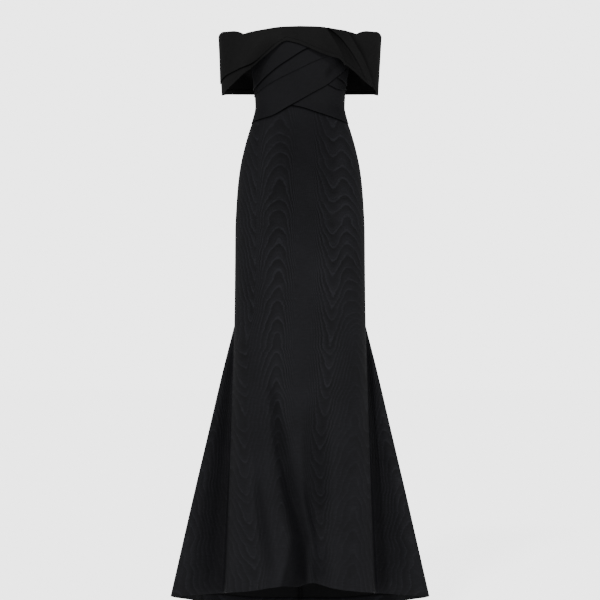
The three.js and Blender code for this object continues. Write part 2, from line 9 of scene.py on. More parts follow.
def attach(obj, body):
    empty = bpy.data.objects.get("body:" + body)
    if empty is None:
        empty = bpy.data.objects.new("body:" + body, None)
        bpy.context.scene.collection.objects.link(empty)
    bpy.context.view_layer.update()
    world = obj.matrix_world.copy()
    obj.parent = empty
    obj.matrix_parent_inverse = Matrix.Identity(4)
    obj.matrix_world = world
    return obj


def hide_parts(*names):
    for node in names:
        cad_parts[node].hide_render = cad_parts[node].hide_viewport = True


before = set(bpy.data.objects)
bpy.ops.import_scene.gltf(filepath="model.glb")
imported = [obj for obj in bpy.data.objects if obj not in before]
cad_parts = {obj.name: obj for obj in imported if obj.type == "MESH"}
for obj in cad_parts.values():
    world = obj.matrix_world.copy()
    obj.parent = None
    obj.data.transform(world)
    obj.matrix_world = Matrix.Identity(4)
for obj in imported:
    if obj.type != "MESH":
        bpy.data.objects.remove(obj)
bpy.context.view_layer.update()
print("frame loaded")

# Lengths in the tables are millimetres and the scene is in metres.
# A place on the body is a turn and a height: the turn is 0 at the centre front, 1 at the
# side seam on +X, -1 at the one on -X, and 2 or -2 at the centre back.
mm = 0.001

cloth = {
    "wall": 1.5,  # the outer face stands this far off the body form
    "thread": 0.55,  # thickness of one layer
    "layerStep": 2.1,
    "seamLap": 0.05,  # neighbours meet with a hair's breadth of overlap, so that no light shows
}

bodyForm = {
    "z": [-520, -424, -320, -268, -216, -164, -112, -62, -31, 0, 31, 63, 100, 135, 180],
    "half": [167.3, 167.2, 166.6, 164.3, 160.7, 154.6, 143.7, 129.4, 118.8, 112.7, 114, 115.6,
             122.6, 126.8, 126.3],
    "front": [104, 105, 107, 106, 104, 100, 95, 89, 85, 82, 86, 95, 107, 109, 99],
    "back": [105, 108, 116, 120, 121, 117, 107, 91, 82, 77, 77, 79, 83, 86, 87],
    "round": [0.15, 0.15, 0.16, 0.17, 0.18, 0.2, 0.22, 0.24, 0.25, 0.26, 0.3, 0.34, 0.36, 0.36,
              0.3],
}
hemPlan = {
    "turn": [0, 0.1, 0.2, 0.35, 0.5, 0.7, 1, 1.06, 1.12, 1.18, 1.24, 1.3, 1.38, 1.45, 1.49, 1.52,
             1.57, 1.65, 1.76, 1.88, 2],
    "x": [0, 19, 38, 68, 98, 136, 187, 191, 194, 197, 207, 230, 268, 302, 322, 335.5, 329, 300,
          240, 130, 0],
    "y": [-158, -157.5, -156, -151, -141, -120, -66, -36, 0, 36, 58, 55, 41, 28, 26, 44, 72, 124,
          200, 272, 300],
    "z": [-1226, -1223, -1221, -1226, -1232, -1240, -1252, -1258, -1263.5, -1270, -1274, -1274.5,
          -1275, -1275.5, -1277, -1280, -1289, -1304, -1328, -1350, -1360],
}
flare = {
    "z": [-1366, -1266, -1022, -762, -606, -554, -502, -450, -400],
    "open": [1.134, 1, 0.677, 0.324, 0.122, 0.078, 0.045, 0.02, 0],
}
godet = {"turn": [1, 1.24, 1.52, 2], "angle": [0, 12, 14, 90], "topZ": -300, "lowZ": -700}
# Troughs of the front, with a width on each side of the deepest line: the crease first
creaseTrough = {
    "z": [-1240, -1133, -1082, -994, -918, -842, -779, -730],
    "x": [25, 19, 8, -20, -40, -58, -67, -71],
    "depth": [60, 45, 34, 24, 16, 10, 5, 0],
    "width": [54, 50, 41, 33, 26, 20, 18, 18],
    "farWidth": [62, 66, 66, 60, 50, 38, 28, 24],
}
middleTrough = {
    "z": [-1240, -1100, -960, -860],
    "x": [72, 64, 52, 50],
    "depth": [8, 7, 4, 0],
    "width": [30, 28, 26, 26],
    "farWidth": [44, 40, 36, 32],
}
leftTrough = {
    "z": [-1250, -1140, -1000, -900, -800],
    "x": [-84, -90, -106, -118, -124],
    "depth": [5, 9, 8, 4, 0],
    "width": [20, 18, 15, 15, 15],
    "farWidth": [34, 36, 34, 30, 26],
}
rightTrough = {
    "z": [-1250, -1120, -1000, -860],
    "x": [134, 133, 125, 120],
    "depth": [4, 6, 4, 0],
    "width": [26, 26, 26, 26],
    "farWidth": [26, 26, 26, 26],
}
trainFolds = {"from": 1.52, "to": 2, "count": 2, "depth": 22, "centreY": 60}

# Heights of the bodice's lines by turn
bodiceLines = {
    "over": {"turn": [-1, -0.45, -0.135, 0.137, 0.41, 0.56, 0.78, 1],
             "z": [-45, -32.5, -4.4, 24, 50.8, 68.8, 95.4, 118]},
    "faint": {"turn": [-1, -0.72, -0.46, -0.13, 0.04, 0.24, 0.37, 0.7, 1],
              "z": [25, 33.8, 51.2, 77.7, 91.8, 108.4, 117.5, 127, 126]},
    "crisp": {"turn": [-1, -0.84, -0.7, -0.55, -0.41, -0.17, 0.11, 0.4, 0.7, 1],
              "z": [41, 44.8, 52.3, 66.3, 80.9, 106.2, 137.6, 150, 145, 132]},
    "under": {"turn": [-0.19, -0.04, 0.27, 0.54, 0.78, 1],
              "z": [-3.4, -6.7, -23.4, -36.5, -44, -45]},
    "upperTuck": {"turn": [0.58, 0.66, 0.75, 0.86, 1], "z": [69, 64.3, 60.8, 56.1, 54]},
    "lowerTuck": {"turn": [0.41, 0.49, 0.6, 0.67, 0.81, 1],
                  "z": [50, 44.8, 39.7, 39.4, 41.9, 43]},
    "top": {"turn": [0, 0.25, 0.5, 0.8, 1, 1.3, 1.6, 2],
            "z": [176, 173, 164, 147, 138, 150, 167, 173]},
}

bandPlan = {
    "turn": [0, 0.2, 0.4, 0.6, 0.75, 0.88, 0.95, 1, 1.06, 1.16, 1.3, 1.5, 1.75, 2],
    "topX": [0, 45, 92, 135, 166, 194, 207, 212.5, 210, 197, 168, 122, 65, 0],
    "topY": [-105.5, -104.5, -95, -80, -68, -50, -34, -13, 9, 32, 52, 70, 90, 95.5],
    "lowX": [0, 46, 94, 136, 163, 188, 199.5, 203.5, 201.5, 190, 166, 122, 65, 0],
    "lowY": [-150, -148, -135, -112, -90, -63, -43, -20, 4, 32, 60, 84, 104, 112],
}
bandTop = {
    "turn": [0, 0.2, 0.42, 0.59, 0.645, 0.69, 0.73, 0.78, 0.86, 0.91, 0.955, 1, 1.05, 1.12, 1.4,
             2],
    "z": [194.8, 193.4, 187.4, 182, 179, 183.4, 186.1, 188, 188.2, 189, 186, 181, 184, 188, 190,
          187],
}
bandFree = {
    "turn": [-2, -1.5, -1.3, -1.15, -1, -0.96, -0.91, -0.73, -0.56, -0.37, -0.28, -0.19, -0.15,
             -0.09, 0, 0.1, 0.21, 0.32, 0.42, 0.47, 0.6, 0.82, 0.91, 0.955, 1, 1.15, 1.3, 1.5, 2],
    "z": [43, 41, 38.5, 35, 27, 25.7, 33.2, 60.5, 86.8, 119.5, 137, 152.8, 155.6, 152.6, 146.6,
          136.6, 125.2, 115.5, 109.6, 99.5, 79.6, 47.8, 34.8, 26, 27, 35, 38.5, 41, 43],
}
cuffLine = {
    "turn": [-1, -0.94, -0.88, -0.73, -0.56, -0.49, -0.41, -0.28, -0.2, -0.12],
    "z": [57, 64.6, 73, 84.8, 98.4, 106.4, 121, 147, 158, 164],
    "rise": [2, 2, 2, 2.2, 2.2, 2, 1.4, 1.2, 0.8, 0],
}


# Slopes at a table's places, level at each peak and dip, so that its curve never overshoots
def gentleSlopes(places, values):
    slopes = np.diff(values) / np.diff(places)
    before, after = slopes[..., :-1], slopes[..., 1:]
    total = np.where(before + after == 0, 1, before + after)
    inner = np.where(before * after > 0, 2 * before * after / total, 0)
    return np.concatenate([slopes[..., :1], inner, slopes[..., -1:]], -1)


# A place on the smooth curve between two points with their slopes
def between(place, left, right, low, high, startSlope, endSlope):
    span = right - left
    t = (place - left) / span
    rise = t * t * (3 - 2 * t)
    bend = startSlope * t * (1 - t) ** 2 - endSlope * t * t * (1 - t)
    return low * (1 - rise) + high * rise + span * bend


# A table's column as a smooth function of another, held level past its ends
def tableCurve(table, key, column):
    places = np.array(table[key], float)
    values = np.array(table[column], float)
    slopes = gentleSlopes(places, values)

    def at(place):
        p = np.clip(place, places[0], places[-1])
        i = np.clip(np.searchsorted(places, p, side="right") - 1, 0, len(places) - 2)
        return between(p, places[i], places[i + 1], values[i], values[i + 1], slopes[i],
                       slopes[i + 1])

    return at


def mix(a, b, t):
    return a + (b - a) * t


def ease(value, low, high):
    t = np.clip((value - low) / (high - low), 0, 1)
    return t * t * (3 - 2 * t)


# A soft bell, 1 at the middle and 0 from the width outwards
def bell(distance, width):
    return np.cos(math.pi / 2 * np.minimum(1, np.abs(distance) / width)) ** 2


# The shade under a folded edge, deepest at the edge and gone a little below it
def shadeUnder(edge, height, reach=4.0):
    return np.where(height < edge + 0.5, np.exp(-(np.maximum(0, edge - height) / reach) ** 2), 0)


form = {key: tableCurve(bodyForm, "z", key) for key in ("half", "front", "back", "round")}
hem = {key: tableCurve(hemPlan, "turn", key) for key in ("x", "y", "z")}
openAt = tableCurve(flare, "z", "open")
godetAngle = tableCurve(godet, "turn", "angle")
troughs = [{key: tableCurve(trough, "z", key) for key in ("x", "depth", "width", "farWidth")}
           for trough in (creaseTrough, middleTrough, leftTrough, rightTrough)]
line = {key: tableCurve(table, "turn", "z") for key, table in bodiceLines.items()}
band = {key: tableCurve(bandPlan, "turn", key) for key in ("topX", "topY", "lowX", "lowY")}
band["top"] = tableCurve(bandTop, "turn", "z")
band["free"] = tableCurve(bandFree, "turn", "z")
band["cuff"] = tableCurve(cuffLine, "turn", "z")
band["cuffRise"] = tableCurve(cuffLine, "turn", "rise")


# A turn past the centre back is the place that faces it on the other side
def unwrap(turn):
    side = np.abs(turn)
    past = side > 2
    return np.where(past, 4 - side, side), np.where(past, -np.sign(turn), np.sign(turn))


def bodyPoint(turn, z, backAngle=None):
    front = np.abs(turn) <= 1
    if backAngle is None:
        backAngle = (np.abs(turn) - 1) * 90
    angle = np.radians(np.where(front, turn * 90, np.sign(turn) * (90 + backAngle)))
    depth = np.where(front, form["front"](z), form["back"](z))
    fullness = 1 + form["round"](z) * np.sin(angle) ** 2
    return np.stack([form["half"](z) * np.sin(angle), -depth * np.cos(angle) * fullness, z], -1)


def skirtPoint(turn, z):
    side, sign = unwrap(turn)
    even = np.maximum(0, side - 1) * 90
    gather = ease(-z, -godet["topZ"], -godet["lowZ"])
    column = bodyPoint(sign * side, z, mix(even, godetAngle(side), gather))
    opened = openAt(z)
    x = mix(column[..., 0], sign * hem["x"](side), opened)
    y = mix(column[..., 1], hem["y"](side), opened)
    for trough in troughs:
        aside = x - trough["x"](z)
        width = np.where(aside < 0, trough["width"](z), trough["farWidth"](z))
        y = y + np.where(side < 1, trough["depth"](z) * bell(aside, width), 0)
    span = trainFolds["to"] - trainFolds["from"]
    place = trainFolds["count"] * np.maximum(0, side - trainFolds["from"]) / span
    inward = trainFolds["depth"] * opened * (1 - np.cos(2 * math.pi * place)) / 2
    spoke = np.stack([x, y - trainFolds["centreY"]], -1)
    spoke = spoke / np.linalg.norm(spoke, axis=-1, keepdims=True)
    return np.stack([x - spoke[..., 0] * inward, y - spoke[..., 1] * inward, z], -1)


bandHeights = {"top": 190, "low": 40}


def bandPoint(turn, z):
    side, sign = unwrap(turn)
    down = (bandHeights["top"] - z) / (bandHeights["top"] - bandHeights["low"])
    x = sign * mix(band["topX"](side), band["lowX"](side), down)
    return np.stack([x, mix(band["topY"](side), band["lowY"](side), down), z], -1)


def unit(vectors):
    return vectors / np.linalg.norm(vectors, axis=-1, keepdims=True)


# Points at an offset from a surface, with a shift along it
def standOff(surface, turn, z, offset, shift, level=False):
    along = unit(surface(turn + 0.002, z) - surface(turn - 0.002, z))
    up = np.array([0, 0, 1.0]) if level else unit(surface(turn, z + 0.5) - surface(turn, z - 0.5))
    out = unit(np.cross(along, up))
    return surface(turn, z) + out * offset[..., None] + along * shift[..., None]


# Columns of a panel from one turn to another, closer together at the ends and at a crease
def spread(count, start, end, crease=None, pull=0.5):
    t = np.linspace(0, 1, count)
    t = mix(t, (1 - np.cos(math.pi * t)) / 2, 0.35)
    if crease is not None:
        middle, width = crease
        density = 1 + pull * np.exp(-((mix(start, end, t) - middle) / width) ** 2)
        steps = np.concatenate([[0], np.cumsum(2 / (density[1:] + density[:-1]) * np.diff(t))])
        t = steps / steps[-1]
    return mix(start, end, t)


# A new object of a finished bmesh
def makeObject(name, bm):
    mesh = bpy.data.meshes.new(name)
    bm.to_mesh(mesh)
    bm.free()
    thing = bpy.data.objects.new(name, mesh)
    bpy.context.scene.collection.objects.link(thing)
    return thing


# A sheet of cloth: a grid laid on a surface at rows of heights and offsets, with a seam
# allowance of some depth turned in at each end. Its UV map is the flat cloth in metres,
# measured across from the column of zeroTurn, ripples gives its watered figure and shade gives
# the painted shade in its creases and hollows, which darkens its colour.
def laySheet(name, surface, turns, heights, offsets, zeroTurn=0, shift=0, level=False,
             flatRows=False, allowance=0, ripples=None, shade=None):
    turns = turns + 0 * heights
    along = 0 * heights + shift
    along[:, 0] -= cloth["seamLap"] / 2
    along[:, -1] += cloth["seamLap"] / 2
    for end in (0, -1):
        for _ in range(2 if allowance else 0):
            edge = [part[:, end].copy() for part in (turns, heights, offsets, along)]
            edge[2] -= allowance / 2
            edge[3] += 0.25 if end == 0 else -0.25
            turns, heights, offsets, along = [
                np.insert(part, 0 if end == 0 else part.shape[1], new, axis=1)
                for part, new in zip((turns, heights, offsets, along), edge)]
    rows, columns = heights.shape
    points = standOff(surface, turns, heights, offsets, along, level)
    across = np.linalg.norm(np.diff(points, axis=1), axis=-1)
    u = np.concatenate([np.zeros((rows, 1)), np.cumsum(across, axis=1)], axis=1)
    zero = np.argmin(np.abs(turns - zeroTurn), axis=1)
    u = u - u[np.arange(rows), zero][:, None]
    v = heights
    if flatRows:
        climb = np.linalg.norm(np.diff(points, axis=0), axis=-1)
        v = np.concatenate([np.zeros((1, columns)), np.cumsum(climb, axis=0)], axis=0)
    watered = ripples(points, u, heights) if ripples else None
    shaded = shade(turns, heights, points) if shade else None
    bm = bmesh.new()
    bmesh.ops.create_grid(bm, x_segments=columns - 1, y_segments=rows - 1, size=0.5)
    uvLayer = bm.loops.layers.uv.new("clothUv")
    rippleLayer = bm.verts.layers.float_vector.new("ripple") if ripples else None
    shadeLayer = bm.verts.layers.float.new("shade") if shade else None
    places = {}
    for vertex in bm.verts:
        c = round((vertex.co.x + 0.5) * (columns - 1))
        r = round((vertex.co.y + 0.5) * (rows - 1))
        places[vertex] = (r, c)
        vertex.co = Vector(points[r, c]) * mm
        if ripples:
            vertex[rippleLayer] = watered[r, c]
        if shade:
            vertex[shadeLayer] = float(shaded[r, c])
    for face in bm.faces:
        face.smooth = True
        for loop in face.loops:
            r, c = places[loop.vert]
            loop[uvLayer].uv = (u[r, c] * mm, v[r, c] * mm)
    piece = makeObject(name, bm)
    wall = piece.modifiers.new("wall", "SOLIDIFY")
    wall.thickness = cloth["thread"] * mm
    wall.offset = -1
    wall.use_even_offset = False
    return piece


# Dress a panel: its finish, the root body that it is attached to, and the node it stands for,
# whose imported part it hides
def declare(piece, material):
    piece.data.materials.append(material)
    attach(piece, "root")
    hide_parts("".join("_" + c.lower() if c.isupper() else c for c in piece.name))


# A back is two panels that mirror each other
halves = (("Right", 1), ("Left", -1))


# Rows that bring cloth round a folded edge at a height, from the layer turned in behind it
def foldedEdge(height, depth, inner, outer):
    radius = (outer - inner) / 2
    rows = [(height + radius + depth * share, inner) for share in (1, 0.45)]
    for angle in np.linspace(0, math.pi, 7):
        rows.append((height + radius * (1 - np.sin(angle)),
                     (inner + outer) / 2 - radius * np.cos(angle)))
    return rows


# Rows that run up behind a pleat's folded edge, come back down and turn out over it
def pleatRows(height, depth, low, high):
    inner = low + 0.22 * (high - low)
    share = np.clip((high - low) / 1.2, 0.02, 1)
    radius = (inner - low) / 2
    rows = [(height - 0.6, low), (height + depth * share * 0.5, low)]
    for angle in np.linspace(0, math.pi, 4):
        rows.append((height + depth * share + radius * np.sin(angle),
                     (low + inner) / 2 - radius * np.cos(angle)))
    rows += foldedEdge(height, depth * share, inner, high)[1:]
    # a hair's breadth more at each row keeps apart the rows of a pleat that fades out
    return [(z + 0.02 * k, offset) for k, (z, offset) in enumerate(rows)]


def stack(rows, columns):
    heights = np.array([np.zeros(columns) + z for z, _ in rows])
    offsets = np.array([np.zeros(columns) + offset for _, offset in rows])
    return heights, offsets


# Distance along the cloth from each point of a panel to its nearer seam
def fromSeam(points):
    steps = np.linalg.norm(np.diff(points, axis=1), axis=-1)
    across = np.insert(np.cumsum(steps, axis=1), 0, 0, axis=1)
    return np.minimum(across, across[:, -1:] - across)


# The cloth dips into a seam and stands in a pressed ridge beside it
def pressedSeam(near, seam, dipShare=1, ridgeShare=1):
    ridge = np.exp(-((near - seam["ridgePlace"]) / seam["ridgeWidth"]) ** 2)
    dip = np.exp(-(near / seam["dipWidth"]) ** 2)
    return seam["ridge"] * ridgeShare * ridge - seam["dip"] * dipShare * dip


# Materials

def linearColour(code):
    parts = [int(code[i:i + 2], 16) / 255 for i in (1, 3, 5)]
    return [p / 12.92 if p <= 0.04045 else ((p + 0.055) / 1.055) ** 2.4 for p in parts] + [1]


# Add a node. Its inputs, in order or by name, are plain values, sockets or nodes, which give
# their first output.
def addNode(tree, kind, inputs=(), **settings):
    node = tree.nodes.new("ShaderNode" + kind)
    for key, value in settings.items():
        setattr(node, key, value)
    for place, value in inputs.items() if isinstance(inputs, dict) else enumerate(inputs):
        if isinstance(value, bpy.types.Node):
            value = value.outputs[0]
        if isinstance(value, bpy.types.NodeSocket):
            tree.links.new(value, node.inputs[place])
        else:
            node.inputs[place].default_value = value
    return node


def newMaterial(name):
    material = bpy.data.materials.new(name)
    material.use_nodes = True
    tree = material.node_tree
    return material, tree, tree.nodes["Principled BSDF"]


# Give a ramp its stops, each a place and a colour
def setRamp(node, stops):
    elements = node.color_ramp.elements
    for spot, colour in stops:
        first, last = spot == stops[0][0], spot == stops[-1][0]
        stop = elements[0] if first else elements[-1] if last else elements.new(spot)
        stop.position = spot
        stop.color = colour
    return node


# Black silk-faced faille: fine crosswise ribs, a low sheen and slightly uneven dye
failleLook = {
    "ribSpacing": 2.4,  # real ribs are 0.7 mm apart: drawn coarser so that they show
    "ribLength": 16,
    "ribDepth": 0.05,
    "ribStrength": 0.35,
    "clouds": 9.0,
    "contrast": (0.36, 0.64),
    "roughness": 0.7,
    "ior": 1.22,
    "shadeDepth": 0.86,
}
# the band is the bodice's faille painted darker and more neutral: painted shade of the band, which
# is tilted from the light
bandShadedTone = {"dark": "#0f0f0f", "light": "#181818"}
bodiceTone = {"dark": "#131315", "light": "#19191c"}
reverseTone = {"dark": "#0e0e0f", "light": "#151517"}  # the dull inner face of the moire

# The pressed figure of the moire: sizes in millimetres, tones from 0 dark to 1 bright
moireLook = {
    "dark": "#0d0d0e",
    "light": "#232327",
    "period": 39,  # height of one ripple
    "jitter": 6,  # how far each rib is pressed aside
    "wander": 9,
    "ribSize": 4.4,
    "patchSize": 60,
    "streak": (22, 4.2),  # length and height of the short bright dashes
    "patches": 15.0,  # unevenness of the ripples' places, and how far it shifts them
    "patchShift": 0.7,
    "rowShift": 1.6,
    "fades": 26.0,  # size of the patches where the figure shows more or less
    "dashContrast": 3.2,
    "fadeContrast": 2.6,
    "middleTone": 0.36,
    "finePlace": 0.35,
    "steepFrom": (14.0, 0.9),  # how soon steep ripples turn into fine lines
    "fine": 0.55,
    "figure": 0.7,
    "grain": 0.4,
    "dashes": 0.32,
    "cloud": 0.45,
    # place in one ripple, from its lower side up, and the tone there
    "profile": [(0, 0.34), (0.3, 0.12), (0.47, 0.1), (0.53, 0.85), (0.65, 1), (0.73, 0.42),
                (0.84, 0.36), (0.88, 0.62), (0.93, 0.36), (1, 0.34)],
}

# Watered figure of the front at some heights: for each, places across of its arches and
# troughs, how high one ripple climbs there and how clearly it shows
frontFigure = {
    "z": [-40, -160, -290, -400, -500, -640, -900, -1240],
    "across": [
        [-140, -122, -106, -101, -96, -86, -70, -50, -34, -24, -12, -2, 26, 36, 50, 64, 87, 101,
         118, 150],
        [-160, -132, -109, -106, -101, -90, -76, -53, -36, -25, -13, -4, 28, 36, 48, 64, 84, 108,
         128, 160],
        [-166, -140, -112, -108, -102, -92, -78, -53, -37, -26, -14, -5, 28, 38, 49, 62, 82, 120,
         140, 166],
        [-166, -142, -112, -108, -102, -92, -78, -53, -38, -29, -18, -7, 28, 40, 52, 64, 83, 122,
         142, 166],
        [-166, -145, -118, -112, -104, -94, -80, -55, -40, -32, -22, -10, 26, 40, 52, 64, 83, 124,
         146, 166],
        [-168, -155, -138, -130, -118, -104, -86, -60, -45, -36, -26, -12, 20, 36, 48, 58, 76, 106,
         142, 167],
        [-172, -158, -140, -124, -112, -96, -78, -52, -40, -30, -20, -8, 4, 18, 28, 38, 52, 84,
         140, 172],
        [-187, -140, -112, -98, -84, -66, -46, -32, -22, -12, -4, 4, 14, 24, 34, 44, 54, 90, 132,
         187],
    ],
    "climb": [
        [60, 16, 0, 70, 130, 172, 192, 205, 192, 170, 110, 40, 200, 120, 56, 22, 0, 15, -4, -60],
        [150, 60, 0, 70, 140, 194, 226, 250, 236, 206, 132, 60, 220, 140, 66, 27, 0, 17, -4, -80],
        [190, 90, 0, 70, 138, 190, 224, 250, 234, 202, 130, 60, 230, 150, 84, 34, 0, 36, 8, -70],
        [200, 100, 0, 70, 136, 186, 220, 250, 232, 198, 130, 60, 250, 166, 94, 40, 0, 62, 40, -30],
        [160, 80, 0, 60, 120, 180, 216, 250, 230, 190, 125, 60, 250, 166, 96, 44, 0, 94, 84, 40],
        [45, 14, 0, 30, 84, 136, 192, 245, 224, 182, 116, 40, 230, 146, 80, 34, 0, 110, 250, 190],
        [60, 20, 0, 40, 90, 150, 220, 290, 250, 200, 130, 80, 200, 130, 50, 20, 0, 120, 230, 150],
        [140, 40, 0, 34, 100, 165, 235, 245, 200, 130, 90, 130, 180, 120, 60, 20, 0, 130, 200, 60],
    ],
    "shown": [
        [0.2, 0.4, 0.5, 0.5, 0.5, 0.6, 0.6, 0.7, 0.6, 0.6, 0.5, 0.1, 0.1, 0.5, 0.7, 0.7, 0.8, 0.8,
         0.7, 0.3],
        [0.3, 0.7, 0.9, 0.8, 0.8, 0.9, 0.9, 1, 0.9, 0.9, 0.7, 0.1, 0.1, 0.7, 0.9, 0.9, 1, 1, 0.9,
         0.5],
        [0.3, 0.8, 1, 0.8, 0.8, 0.9, 1, 1, 1, 0.9, 0.7, 0.1, 0.1, 0.7, 0.9, 1, 1, 1, 0.9, 0.5],
        [0.4, 0.8, 1, 0.8, 0.8, 0.9, 1, 1, 1, 0.9, 0.7, 0.1, 0.1, 0.7, 0.9, 1, 1, 0.9, 0.8, 0.5],
        [0.4, 0.8, 1, 0.6, 0.5, 0.9, 1, 1, 1, 0.9, 0.7, 0.1, 0.1, 0.7, 0.9, 1, 1, 0.6, 0.4, 0.5],
        [0.5, 0.8, 0.8, 0.3, 0.25, 0.5, 0.9, 1, 0.9, 0.8, 0.6, 0.1, 0.1, 0.6, 0.9, 1, 1, 0.5, 0.25,
         0.7],
        [0.5, 0.6, 0.55, 0.35, 0.2, 0.2, 0.3, 0.6, 0.6, 0.5, 0.3, 0.1, 0.1, 0.4, 0.7, 0.8, 0.85,
         0.45, 0.25, 0.6],
        [0.4, 0.6, 0.7, 0.55, 0.3, 0.15, 0.15, 0.1, 0.1, 0.1, 0.1, 0.1, 0.15, 0.2, 0.3, 0.35, 0.35,
         0.25, 0.4, 0.4],
    ],
}
# The back's own figure, by distance from its side seam
backFigure = {
    "z": [-40, -420, -800, -1100, -1200, -1360],
    "across": [
        [0, 24, 48, 72, 98, 122, 150, 176, 205],
        [0, 26, 54, 84, 112, 134, 160, 190, 225],
        [0, 50, 72, 90, 108, 140, 200, 270, 380],
        [0, 100, 138, 172, 208, 270, 370, 480, 620],
        [0, 116, 158, 200, 238, 310, 410, 530, 680],
        [0, 130, 176, 224, 270, 350, 460, 590, 730],
    ],
    "climb": [
        [0, 30, 130, 215, 250, 200, 70, 0, 130],
        [0, 30, 150, 250, 280, 220, 80, 0, 140],
        [0, 30, 150, 260, 310, 250, 90, 0, 150],
        [0, 30, 150, 280, 340, 270, 90, 0, 150],
        [0, 20, 110, 220, 280, 230, 80, 0, 150],
        [0, 10, 60, 130, 160, 150, 60, 0, 150],
    ],
    "shown": [
        [0.3, 0.6, 0.7, 0.9, 1, 0.8, 0.9, 1, 0.6],
        [0.3, 0.6, 0.7, 0.9, 1, 0.8, 0.9, 1, 0.6],
        [0.1, 0.2, 0.6, 0.7, 0.7, 0.8, 0.9, 1, 0.6],
        [0.1, 0.2, 0.5, 0.7, 0.6, 0.8, 0.9, 1, 0.6],
        [0.1, 0.2, 0.5, 0.55, 0.45, 0.7, 0.9, 1, 0.6],
        [0.1, 0.25, 0.5, 0.6, 0.5, 0.7, 0.9, 1, 0.6],
    ],
}


# The ripple that each point of a watered sheet lies on, how steeply the ripples run there
# and how clearly they show
def wateredBy(figure, byPlace):
    levels = -np.array(figure["z"])
    tables = [np.array(figure[key], float) for key in ("across", "climb", "shown")]

    def at(points, u, heights):
        across = points[..., 0] if byPlace else np.abs(u)
        level = np.interp(-heights, levels, np.arange(len(levels)))
        low = np.minimum(level.astype(int), len(levels) - 2)
        part = ease(level - low, 0, 1)[..., None]
        places, climbs, shown = [mix(rows[low], rows[low + 1], part) for rows in tables]
        spot = np.clip(across, places[..., 0], places[..., -1])
        i = np.clip((places <= spot[..., None]).sum(-1) - 1, 0, places.shape[-1] - 2)

        def pick(values, step=0):
            return np.take_along_axis(values, (i + step)[..., None], -1)[..., 0]

        ends = pick(places), pick(places, 1)
        slopes = gentleSlopes(places, climbs)
        climb = between(spot, *ends, pick(climbs), pick(climbs, 1), pick(slopes), pick(slopes, 1))
        clear = mix(pick(shown), pick(shown, 1), (spot - ends[0]) / (ends[1] - ends[0]))
        ripple = (heights - climb) / moireLook["period"]
        steep = np.gradient(ripple, axis=1) / np.maximum(np.gradient(u, axis=1), 0.05)
        return np.stack([ripple, steep, clear], -1)

    return at


# The crosswise ribs and the clouds of the dye, which every piece of the gown shows
def addFaille(tree, uv):
    look = failleLook
    shape = tree.nodes["Principled BSDF"]
    shape.inputs["Roughness"].default_value = look["roughness"]
    shape.inputs["IOR"].default_value = look["ior"]
    shape.inputs["Metallic"].default_value = 0
    threads = addNode(tree, "VectorMath", (
        uv, (1000 / look["ribLength"], 1000 / look["ribSpacing"], 0)), operation="MULTIPLY")
    grain = addNode(tree, "TexNoise", {
        "Vector": threads, "Scale": 1.0, "Detail": 3.0, "Roughness": 0.6})
    clouds = addNode(tree, "TexNoise", {
        "Vector": uv, "Scale": look["clouds"], "Detail": 3.0, "Roughness": 0.5})
    bump = addNode(tree, "Bump", {
        "Height": grain, "Strength": look["ribStrength"], "Distance": look["ribDepth"] * mm})
    tree.links.new(bump.outputs[0], shape.inputs["Normal"])
    return grain, clouds


# Painted shade: the colour and the sheen, both dimmed by the shade attribute in the creases and
# hollows
def paintShade(tree, colour):
    shape = tree.nodes["Principled BSDF"]
    shade = addNode(tree, "Attribute", attribute_name="shade").outputs["Fac"]
    kept = addNode(tree, "Math", (shade, -failleLook["shadeDepth"], 1.0),
                   operation="MULTIPLY_ADD")
    dimmed = addNode(tree, "VectorMath", {0: colour, "Scale": kept}, operation="SCALE")
    tree.links.new(dimmed.outputs[0], shape.inputs["Base Color"])
    sheen = addNode(tree, "Math", (kept, 0.5), operation="MULTIPLY")
    tree.links.new(sheen.outputs[0], shape.inputs["Specular IOR Level"])


def makeFaille(name, tone):
    material, tree, _ = newMaterial(name)
    grain, clouds = addFaille(tree, addNode(tree, "UVMap", uv_map="clothUv"))
    both = addNode(tree, "Math", (grain, clouds), operation="ADD")
    half = addNode(tree, "Math", (both, 0.5), operation="MULTIPLY")
    low, high = failleLook["contrast"]
    paintShade(tree, setRamp(addNode(tree, "ValToRGB", (half,)), [
        (low, linearColour(tone["dark"])), (high, linearColour(tone["light"]))]))
    return material


